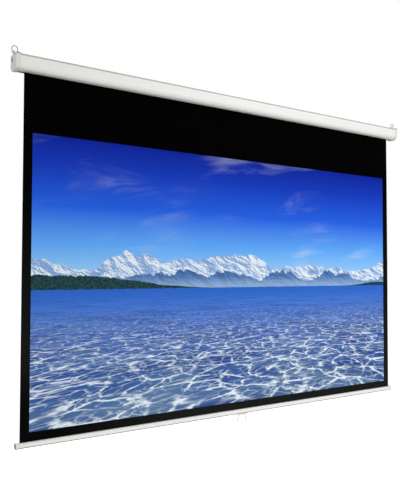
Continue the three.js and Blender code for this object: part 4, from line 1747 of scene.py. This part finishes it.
    def screws(self) -> None:
        """Drive the four screws that clamp the caps."""
        nodes, places = [], []
        for end in End:
            for port, (centre, _, _) in self.ports().items():
                node = f"cap_screw_{end.word}_{port}"
                head = end.outer(Box.of(node))
                seat = Vector((head - end.value * self.screw.head_height, *centre))
                nodes.append(node)
                places.append(Place(seat, Vector((end.value, 0, 0))))
        piece = self.shop.fasteners.piece("cap_screws", places, self.screw, self.shop.palette.plated)
        self.shop.fit(piece, Slot.PLATED_STEEL, nodes)

    def build(self) -> None:
        """Make the whole case."""
        self.extrusion()
        for end in End:
            self.end_cap(end)
            self.shop.dress(f"bracket_{end.word}", self.shop.palette.plated)
        self.screws()


@dataclass
class HangingLoop:
    """A wire loop that swings in a cap's ear, with a round top and a straight foot."""

    shop: Workshop
    end: End
    wire: float = 0.0015
    corner: float = 0.003
    steps: int = 28
    corner_steps: int = 8
    sides: int = 20

    def build(self) -> None:
        """Bend the wire."""
        node = f"hanging_loop_{self.end.word}"
        room = Box.of(node)
        left, right = room.low.x + self.wire, room.high.x - self.wire
        bottom, top = room.low.z + self.wire, room.high.z - self.wire
        half = (right - left) / 2
        outline = [
            *arc((right - self.corner, bottom + self.corner), self.corner, -90, 0, self.corner_steps),
            *arc((room.middle.x, top - half), half, 0, 180, self.steps),
            *arc((left + self.corner, bottom + self.corner), self.corner, 180, 270, self.corner_steps),
        ]
        path = [(x, room.middle.y, z) for x, z in outline]
        section = circle((0, 0), self.wire, self.sides)
        piece = self.shop.sweep.piece(
            f"{node}_wire", path, section, self.shop.palette.wire, closed=True)
        self.shop.fit(piece, Slot.WIRE_STEEL, [node])


@dataclass
class Roller:
    """The roller tube with the cloth that stays on it, and its plugs and pins."""

    shop: Workshop
    wall: float = 0.0012
    cloth: float = 0.00034
    pitch_share: float = 1.15
    steps: int = 44
    tube_sides: int = 64

    def tube(self) -> None:
        """Draw the aluminium tube."""
        room = Box.of("roller_tube")
        centre, radius = (room.middle.y, room.middle.z), room.size.z / 2
        outside, inside = (circle(centre, size, self.tube_sides) for size in (radius, radius - self.wall))
        piece = prism("roller_tube_drawn", outside, room.low.x, room.high.x)
        combined(piece, Cut.AWAY, [prism("bore", inside, room.low.x - self.wall, room.high.x + self.wall)])
        self.shop.fit(smoothed(piece), Slot.ROLLER_ALUMINIUM, ["roller_tube"], self.shop.palette.mill)

    def wraps(self) -> bpy.types.Object:
        """Wind the turns of cloth that never leave the roller.

        Returns:
            The cloth as one spiral sheet.
        """
        room = Box.of("fabric_wraps")
        centre, outer = Vector((room.middle.y, room.middle.z)), room.size.z / 2
        inner = Box.of("roller_tube").size.z / 2
        start, end = inner + self.cloth, outer - self.cloth / 2
        turns = (end - start) / (self.cloth * self.pitch_share)
        count = int(turns * self.steps)
        path = []
        for i in range(count + 1):
            angle = 2 * math.pi * (i - count) / self.steps
            radius = start + (end - start) * i / count
            path.append((centre.x + radius * math.cos(angle), centre.y + radius * math.sin(angle)))
        section, finish = strip(path, self.cloth), self.shop.palette.black
        piece = self.shop.sweep.piece("wound_cloth", room.run, section, finish)
        return self.shop.fit(piece, Slot.BLACK_CLOTH, ["fabric_wraps"])

    def build(self) -> bpy.types.Object:
        """Make the roller.

        Returns:
            The wound cloth, which belongs to the sheet.
        """
        self.tube()
        palette = self.shop.palette
        for node in ("bearing_bush", "idle_plug", "lock_plug", "shaft_support", "spring_anchor"):
            self.shop.dress(node, palette.nylon)
        for node in ("idle_pin", "pawl_pin_a", "pawl_pin_b", "pawl_a", "pawl_b", "ratchet_disc",
                     "spring_shaft"):
            self.shop.dress(node, palette.plated)
        return self.wraps()


@dataclass
class MotorSpring:
    """The long torsion spring inside the roller, wound about its shaft."""

    shop: Workshop
    wire: float = 0.001
    turns: int = 24
    steps: int = 24
    sides: int = 10

    def build(self) -> None:
        """Wind the spring."""
        room = Box.of("torsion_spring")
        radius = room.size.z / 2 - self.wire
        count = self.turns * self.steps
        start, length = room.low.x + self.wire, room.size.x - 2 * self.wire
        path = []
        for i in range(count + 1):
            angle = 2 * math.pi * i / self.steps
            path.append((
                start + length * i / count,
                room.middle.y + radius * math.cos(angle), room.middle.z + radius * math.sin(angle),
            ))
        section = circle((0, 0), self.wire, self.sides)
        piece = self.shop.sweep.piece("wound_spring", path, section, self.shop.palette.wire, flat=False)
        self.shop.fit(piece, Slot.WIRE_STEEL, ["torsion_spring"])


@dataclass
class ScreenCloth:
    """The sheet of cloth between the roller and the bottom bar, drawn all the way down."""

    shop: Workshop
    columns: int = 110
    rows: int = 76
    ripple: float = 0.0005
    ripple_length: float = 0.62
    ripple_lean: float = 1.5
    curl: float = 0.0012
    curl_reach: float = 0.03

    def __post_init__(self) -> None:
        """Read the frame."""
        self.backing = Box.of("screen_fabric")
        self.front = Box.of("viewing_surface").low.y

    def sway(self, x: float, z: float) -> float:
        """Work out how far the cloth stands off its plane: a faint ripple and curled side edges.

        Args:
            x: A place on the cloth.
            z: Its height.

        Returns:
            The distance towards the wall.
        """
        down = (self.backing.high.z - z) / self.backing.size.z
        held = math.sin(math.pi * min(max(down, 0.0), 1.0))
        wave = math.sin(2 * math.pi * x / self.ripple_length + self.ripple_lean * down)
        side = min(x - self.backing.low.x, self.backing.high.x - x)
        return held * (self.ripple * wave - self.curl * math.exp(-side / self.curl_reach))

    def sheet(self) -> bpy.types.Object:
        """Weave the sheet: a front and a back of many small faces, closed at its edges.

        Returns:
            The sheet, on its body.
        """
        thickness = self.backing.high.y - self.front
        low, high, size = self.backing.low, self.backing.high, self.backing.size
        xs = [low.x + size.x * i / self.columns for i in range(self.columns + 1)]
        zs = [high.z - size.z * j / self.rows for j in range(self.rows + 1)]
        shape = opened()
        layers = [
            [[shape.verts.new((x, self.front + off + self.sway(x, z), z)) for x in xs] for z in zs]
            for off in (0.0, thickness)
        ]
        for index, layer in enumerate(layers):
            for upper, lower in zip(layer, layer[1:]):
                for i in range(self.columns):
                    corners = (upper[i], lower[i], lower[i + 1], upper[i + 1])
                    shape.faces.new(corners).material_index = index
        borders = (
            ([row[0] for row in layer], [row[-1] for row in layer], layer[0], layer[-1]) for layer in layers)
        for front, back in zip(*borders):
            for i in range(len(front) - 1):
                shape.faces.new((front[i], front[i + 1], back[i + 1], back[i])).material_index = 1
        piece = from_shape("screen_cloth", shape)
        piece.data.materials.append(self.shop.palette.front)
        piece.data.materials.append(self.shop.palette.black)
        smoothed(piece)
        return self.shop.fit(piece, Slot.PICTURE_COATING, ["screen_fabric", "viewing_surface"])

    def build(self, wound: bpy.types.Object, hem: bpy.types.Object) -> None:
        """Hang the sheet.

        Args:
            wound: The cloth that stays on the roller. It is not used.
            hem: The cloth's hem in the bar. It is not used.
        """
        piece = self.sheet()
        travel = next(joint for joint in frame["joints"] if joint["name"] == "bar_lift")["range_m"][1]
        top, length = self.backing.high.z, self.backing.size.z
        1 - travel / length
        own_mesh(piece)
        self.backing.size.x


@dataclass
class BottomBar:
    """The weighted bar: an extrusion that holds the hem, two end caps and its screws."""

    shop: Workshop
    wall: float = 0.0016
    corner: float = 0.0055
    channel: float = 0.004
    mouth: float = 0.003
    gap: float = 0.0003
    edge: float = 0.0004
    hem_wall: float = 0.0008
    hem_neck: float = 0.0002
    cap_length: float = 0.0177
    cap_edge: float = 0.003
    cap_proud: float = 0.0005
    # the height of the grey line of painted shade along the bar's foot
    foot_line: float = 0.005
    screw: PanHeadScrew = PanHeadScrew(0.0028, 0.0015, 0.0013, 0.007)

    def __post_init__(self) -> None:
        """Read the frame."""
        self.room = Box.of("bottom_bar")
        self.y = self.room.middle.y
        self.channel_z = self.room.high.z - self.wall - self.channel

    def chamber(self, shrink: float) -> list[Point]:
        """Draw the lower hollow of the bar, made smaller all round.

        Args:
            shrink: By how much.

        Returns:
            The outline.
        """
        low = (self.room.low.y + self.wall + shrink, self.room.low.z + self.wall + shrink)
        top = self.channel_z - self.channel - self.wall - shrink
        high = (self.room.high.y - self.wall - shrink, top)
        radius = min(self.corner - self.wall, (top - low[1]) / 3) - shrink
        return rounded_rectangle(low, high, radius, 8)

    def mouth_cutter(self, low: float, high: float) -> bpy.types.Object:
        """Make the slit over the channel, through which the cloth comes up.

        Args:
            low: Where it begins on X.
            high: Where it ends.

        Returns:
            A solid to cut away.
        """
        half, above = self.mouth / 2, self.room.high.z + self.wall
        sides = [
            (self.y - half, self.channel_z), (self.y + half, self.channel_z),
            (self.y + half, above), (self.y - half, above),
        ]
        return prism("mouth", sides, low, high)

    def bar(self) -> None:
        """Extrude the bar."""
        outline = rounded_rectangle(tuple(self.room.low.yz), tuple(self.room.high.yz), self.corner, 14)
        piece = self.shop.sweep.piece("bar_extrusion", self.room.run, outline, self.shop.palette.bar)
        start, end = self.room.low.x - self.wall, self.room.high.x + self.wall
        combined(piece, Cut.AWAY, [
            prism("channel", circle((self.y, self.channel_z), self.channel, 40), start, end),
            self.mouth_cutter(start, end),
            prism("chamber", self.chamber(0), start, end),
            *self.screw_holes(),
        ])
        self.shop.fit(smoothed(piece), Slot.CASE_PAINT, ["bottom_bar"], self.shop.palette.bar)

    def screw_places(self) -> dict[str, Place]:
        """Find where the bar's small screws seat: two behind, and two under the handle bracket.

        Returns:
            A place for each screw's node.
        """
        places = {}
        for end in End:
            back = Box.of(f"bar_cap_screw_{end.word}")
            under = Box.of(f"bracket_screw_{end.word}")
            head = self.screw.head_height
            places[f"bar_cap_screw_{end.word}"] = Place(
                Vector((back.middle.x, back.high.y - head, back.middle.z)), Vector((0, 1, 0)))
            places[f"bracket_screw_{end.word}"] = Place(
                Vector((under.middle.x, under.middle.y, under.low.z + head)), Vector((0, 0, -1)))
        return places

    def screw_holes(self) -> list[bpy.types.Object]:
        """Drill through the bar's wall for its screws.

        Returns:
            Solids to cut away.
        """
        radius, reach = self.screw.shank_radius + self.gap, 2 * self.wall
        drills = []
        for place in self.screw_places().values():
            drill = prism("drill", circle((0, 0), radius, 20), -reach, reach, Along.Z)
            turn = place.aim.to_track_quat("Z", "Y").to_matrix().to_4x4()
            seat = place.seat - place.aim * reach / 2
            drill.data.transform(Matrix.Translation(seat) @ turn)
            drills.append(drill)
        return drills

    def end_cap(self, end: End) -> None:
        """Mould one end cap: a block with a round end, and a spigot in the bar.

        Args:
            end: The end that it closes.
        """
        node = f"bar_cap_{end.word}"
        room = Box.of(node)
        outer = end.outer(room)
        inner = outer - end.value * self.cap_length
        radius = self.corner + self.cap_proud
        outline = rounded_rectangle(tuple(room.low.yz), tuple(room.high.yz), radius, 12)
        block = prism(node + "_moulding", outline, inner, outer)
        bevelled(block, self.cap_edge, at_height(0, outer), 7)
        bevelled(block, self.edge, at_height(0, inner), 2)
        root = inner + end.value * self.cap_edge
        spigot = prism("spigot", self.chamber(self.gap), end.inner(room), root)
        combined(block, Cut.JOINED, [spigot])
        self.shop.fit(smoothed(block), Slot.BAR_CAP_PLASTIC, [node], self.shop.palette.bar_cap)

    def screws(self) -> None:
        """Drive the bar's screws."""
        places = self.screw_places()
        piece = self.shop.fasteners.piece(
            "bar_screws", list(places.values()), self.screw, self.shop.palette.plated)
        self.shop.fit(piece, Slot.PLATED_STEEL, list(places))

    def hem(self) -> bpy.types.Object:
        """Fold the cloth round its rod in the channel.

        Returns:
            The hem.
        """
        room = Box.of("fabric_hem")
        outer = self.channel - self.gap
        middle = outer - self.hem_wall / 2
        half = (self.hem_neck + self.hem_wall) / 2
        lean = math.degrees(math.asin(half / middle))
        centre = (self.y, self.channel_z)
        turn = arc(centre, middle, 90 - lean, 90 + lean - FULL_TURN, 36)
        path = [(self.y + half, room.high.z), *turn, (self.y - half, room.high.z)]
        section, finish = strip(path, self.hem_wall), self.shop.palette.black
        piece = self.shop.sweep.piece("folded_hem", room.run, section, finish)
        return self.shop.fit(piece, Slot.BLACK_CLOTH, ["fabric_hem"])

    def rod(self) -> None:
        """Cut the rod that keeps the hem in its channel."""
        room = Box.of("hem_rod")
        outline = circle((room.middle.y, room.middle.z), room.size.z / 2, 28)
        piece = self.shop.sweep.piece("hem_rod_drawn", room.run, outline, self.shop.palette.wire)
        self.shop.fit(piece, Slot.WIRE_STEEL, ["hem_rod"])

    def build(self) -> bpy.types.Object:
        """Make the bar.

        Returns:
            The hem, which belongs to the sheet.
        """
        self.bar()
        for end in End:
            self.end_cap(end)
        self.screws()
        self.rod()
        return self.hem()


@dataclass
class PullHandle:
    """The ring that pulls the screen down, and the bracket that it swings in."""

    shop: Workshop
    wire: float = 0.0025
    top_width: float = 0.044
    bottom_width: float = 0.06
    corner: float = 0.0092
    clearance: float = 0.0003
    plate: float = 0.002
    plate_corner: float = 0.003
    lug_wall: float = 0.0018
    lug_length: float = 0.008
    lug_spacing: float = 0.023
    edge: float = 0.0005
    screw_radius: float = 0.0016

    def ring(self) -> None:
        """Bend the ring: a trapezium with round corners."""
        room = Box.of("pull_handle")
        top, bottom = room.high.z - self.wire, room.low.z + self.wire
        x, half_top, half_bottom = room.middle.x, self.top_width / 2, self.bottom_width / 2
        corners = [
            (x - half_bottom, bottom), (x + half_bottom, bottom), (x + half_top, top), (x - half_top, top),
        ]
        outline = softened(corners, self.corner, 14)
        path = [(a, room.middle.y, b) for a, b in outline]
        piece = self.shop.sweep.piece(
            "pull_ring", path, circle((0, 0), self.wire, 24), self.shop.palette.handle, closed=True)
        self.shop.fit(piece, Slot.HANDLE_PLASTIC, ["pull_handle"])

    def lug(self, middle: float, axis: Point, top: float) -> bpy.types.Object:
        """Make one lug: a round eye on a short neck, about the ring's axis.

        Args:
            middle: Its middle on X.
            axis: The ring's axis, as (y, z).
            top: Where its neck ends.

        Returns:
            The lug as a solid.
        """
        radius = self.wire + self.clearance + self.lug_wall
        neck = [(axis[0] + radius, top), (axis[0] - radius, top)]
        outline = [*arc(axis, radius, 180, FULL_TURN, 24), *neck]
        low, high = middle - self.lug_length / 2, middle + self.lug_length / 2
        return bevelled(prism("lug", outline, low, high), self.edge, at_height(0, low, high), 2)

    def bracket(self) -> None:
        """Press the bracket: a plate with two lugs."""
        room, ring = Box.of("handle_bracket"), Box.of("pull_handle")
        plate_low = room.high.z - self.plate
        outline = rounded_rectangle(tuple(room.low.xy), tuple(room.high.xy), self.plate_corner, 8)
        plate = prism("handle_bracket_pressing", outline, plate_low, room.high.z, Along.Z)
        bevelled(plate, self.edge, at_height(2, plate_low), 2)
        axis = (ring.middle.y, ring.high.z - self.wire)
        bore = self.wire + self.clearance
        x = room.middle.x
        lugs = [x + side * self.lug_spacing / 2 for side in (-1, 1)]
        combined(plate, Cut.JOINED, [self.lug(at, axis, room.high.z - self.plate / 2) for at in lugs])
        reach = self.lug_length
        holes = [prism("bore", circle(axis, bore, 32), at - reach, at + reach) for at in lugs]
        for end in End:
            under = Box.of(f"bracket_screw_{end.word}").middle
            spot = circle((under.x, under.y), self.screw_radius, 20)
            holes.append(prism("drill", spot, plate_low - self.plate, room.high.z + self.plate, Along.Z))
        combined(plate, Cut.AWAY, holes)
        self.shop.fit(smoothed(plate), Slot.PAINTED_STEEL, ["handle_bracket"], self.shop.palette.case)

    def build(self) -> None:
        """Make the handle."""
        self.bracket()
        self.ring()


@dataclass(frozen=True)
class Lamp:
    """A large soft lamp with a square face."""

    name: str
    place: tuple[float, float, float]
    target: tuple[float, float, float]
    size: float
    watts: float
    colour: tuple[float, float, float] = (1.0, 1.0, 1.0)

    def hang(self) -> None:
        """Hang it, turned to its target."""
        light = bpy.data.lights.new(self.name, "AREA")
        light.shape = "SQUARE"
        light.size = self.size
        light.energy = self.watts
        light.color = self.colour
        lamp = bpy.data.objects.new(self.name, light)
        lamp.location = self.place
        aim = Vector(self.target) - Vector(self.place)
        lamp.rotation_euler = aim.to_track_quat("-Z", "Y").to_euler()
        bpy.context.scene.collection.objects.link(lamp)


@dataclass
class Studio:
    """The floor, the white surroundings, the lamps and the camera.

    The key lamp is strong and stands at the right front. The others are softer: at the left, above
    the back, and under the case.
    """

    floor_z: float = -3.6
    floor_size: float = 60.0
    ambient: float = 0.3
    floor_bounce: Colour = tone(112, 112, 100)
    floor_white: float = 0.95
    floor_shade: float = 0.45
    camera_place: tuple[float, float, float] = (-1.9641, -2.5520, -0.8605)
    camera_yaw: float = 0.5941
    camera_pitch: float = 0.0347
    camera_roll: float = 0.0027
    focal_length: float = 44.28
    sensor: float = 36.0
    lamps: tuple[Lamp, ...] = (
        Lamp("key", (3.4, -5.6, 0.4), (0.2, 0, -0.75), 3.2, 256),
        Lamp("fill", (-6.5, -2.2, 0.5), (0.2, 0, -0.75), 2.6, 126, (1.0, 1.0, 0.94)),
        Lamp("rear", (-0.8, 3.6, 3.8), (0.2, 0, -0.75), 3.0, 230),
        Lamp("under", (0.1, -2.3, -3.2), (-0.1, 0, 0), 1.8, 40, (1.0, 1.0, 0.95)),
    )

    def floor(self) -> None:
        """Lay a plain floor that looks white and keeps the object's shadow."""
        shape = opened()
        bmesh.ops.create_grid(shape, x_segments=1, y_segments=1, size=self.floor_size)
        bmesh.ops.translate(shape, verts=shape.verts, vec=(0, 0, self.floor_z))
        floor = from_shape("floor", shape)
        g = ShaderGraph("studio_floor")
        grey = (self.floor_shade,) * 3
        plain, white = (
            g.result("ShaderNodeBsdfDiffuse", {}, {"Color": colour}, "BSDF")
            for colour in (self.floor_bounce, (*grey, 1.0)))
        lift = g.result("ShaderNodeEmission", {}, {"Strength": self.floor_white}, "Emission")
        bright = g.result("ShaderNodeAddShader", {}, {"Shader": white, "Shader_001": lift}, "Shader")
        sockets = {"Fac": self.looked_at(g), "Shader": plain, "Shader_001": bright}
        chosen = g.result("ShaderNodeMixShader", {}, sockets, "Shader")
        g.node("ShaderNodeOutputMaterial", {}, {"Surface": chosen})
        floor.data.materials.append(g.material)

    @staticmethod
    def looked_at(g: NodeMaker) -> Signal:
        """Tell what the camera sees, also in a mirror or through glass, from other light.

        Args:
            g: The nodes of the floor or of the world.

        Returns:
            1 for what is looked at, and 0 for the rest.
        """
        rays = g.node("ShaderNodeLightPath").outputs
        seen, mirrored, through = (
            Signal(g, rays[f"Is {kind} Ray"]) for kind in ("Camera", "Glossy", "Transmission"))
        return seen.most(mirrored).most(through)

    def surroundings(self) -> None:
        """Make the world: white to look at, and a weaker even light on the object."""
        world = bpy.data.worlds.new("studio")
        world.use_nodes = True
        bpy.context.scene.world = world
        g = NodeMaker(world.node_tree)
        sockets = {"Value": self.looked_at(g), "To Min": self.ambient, "To Max": 1.0}
        level = g.result("ShaderNodeMapRange", {}, sockets, "Result")
        sockets = {"Color": (1, 1, 1, 1), "Strength": level}
        light = g.result("ShaderNodeBackground", {}, sockets, "Background")
        g.node("ShaderNodeOutputWorld", {}, {"Surface": light})

    def camera(self) -> None:
        """Stand the camera at the left, half way down the cloth."""
        yaw, pitch, roll = self.camera_yaw, self.camera_pitch, self.camera_roll
        ahead = math.cos(pitch)
        forward = Vector((math.sin(yaw) * ahead, math.cos(yaw) * ahead, math.sin(pitch)))
        level = Vector((math.cos(yaw), -math.sin(yaw), 0))
        upright = level.cross(forward)
        right = math.cos(roll) * level + math.sin(roll) * upright
        up = math.cos(roll) * upright - math.sin(roll) * level
        data = bpy.data.cameras.new("camera")
        data.sensor_width = self.sensor
        data.lens = self.focal_length
        data.clip_end = self.floor_size * 2
        camera = bpy.data.objects.new("camera", data)
        turn = Matrix((right, up, -forward)).transposed().to_4x4()
        camera.matrix_world = Matrix.Translation(self.camera_place) @ turn
        bpy.context.scene.collection.objects.link(camera)
        bpy.context.scene.camera = camera

    def build(self) -> None:
        """Set the studio up."""
        self.floor()
        self.surroundings()
        for lamp in self.lamps:
            lamp.hang()
        self.camera()
        bpy.context.scene.view_settings.view_transform = "Standard"


def main() -> None:
    """Dress the screen, piece by piece."""
    logging.basicConfig(level=logging.INFO, format="%(name)s: %(message)s")
    Studio().build()
    case_top, picture = Box.of("case_shell").high.z, Box.of("viewing_surface")
    left, right = Box.of("bar_cap_left").low.x, Box.of("bar_cap_right").high.x
    foot_high = Box.of("bottom_bar").low.z + BottomBar.foot_line
    # painted shade on the case's caps
    grime = EdgeGrime(case_top + Case.cap_gap + Case.cap_rim_wall, picture.middle.y)
    # painted shade on the bar's caps
    bar_cap_shade = EndGrime((left + right) / 2, (right - left) / 2, foot_high)
    palette = Palette(case_top - Case.rebate_height, picture, grime, bar_cap_shade)
    shop = Workshop(palette)
    Case(shop).build()
    for end in End:
        HangingLoop(shop, end).build()
    wound = Roller(shop).build()
    MotorSpring(shop).build()
    hem = BottomBar(shop).build()
    ScreenCloth(shop).build(wound, hem)
    PullHandle(shop).build()


if __name__ == "__main__":
    main()
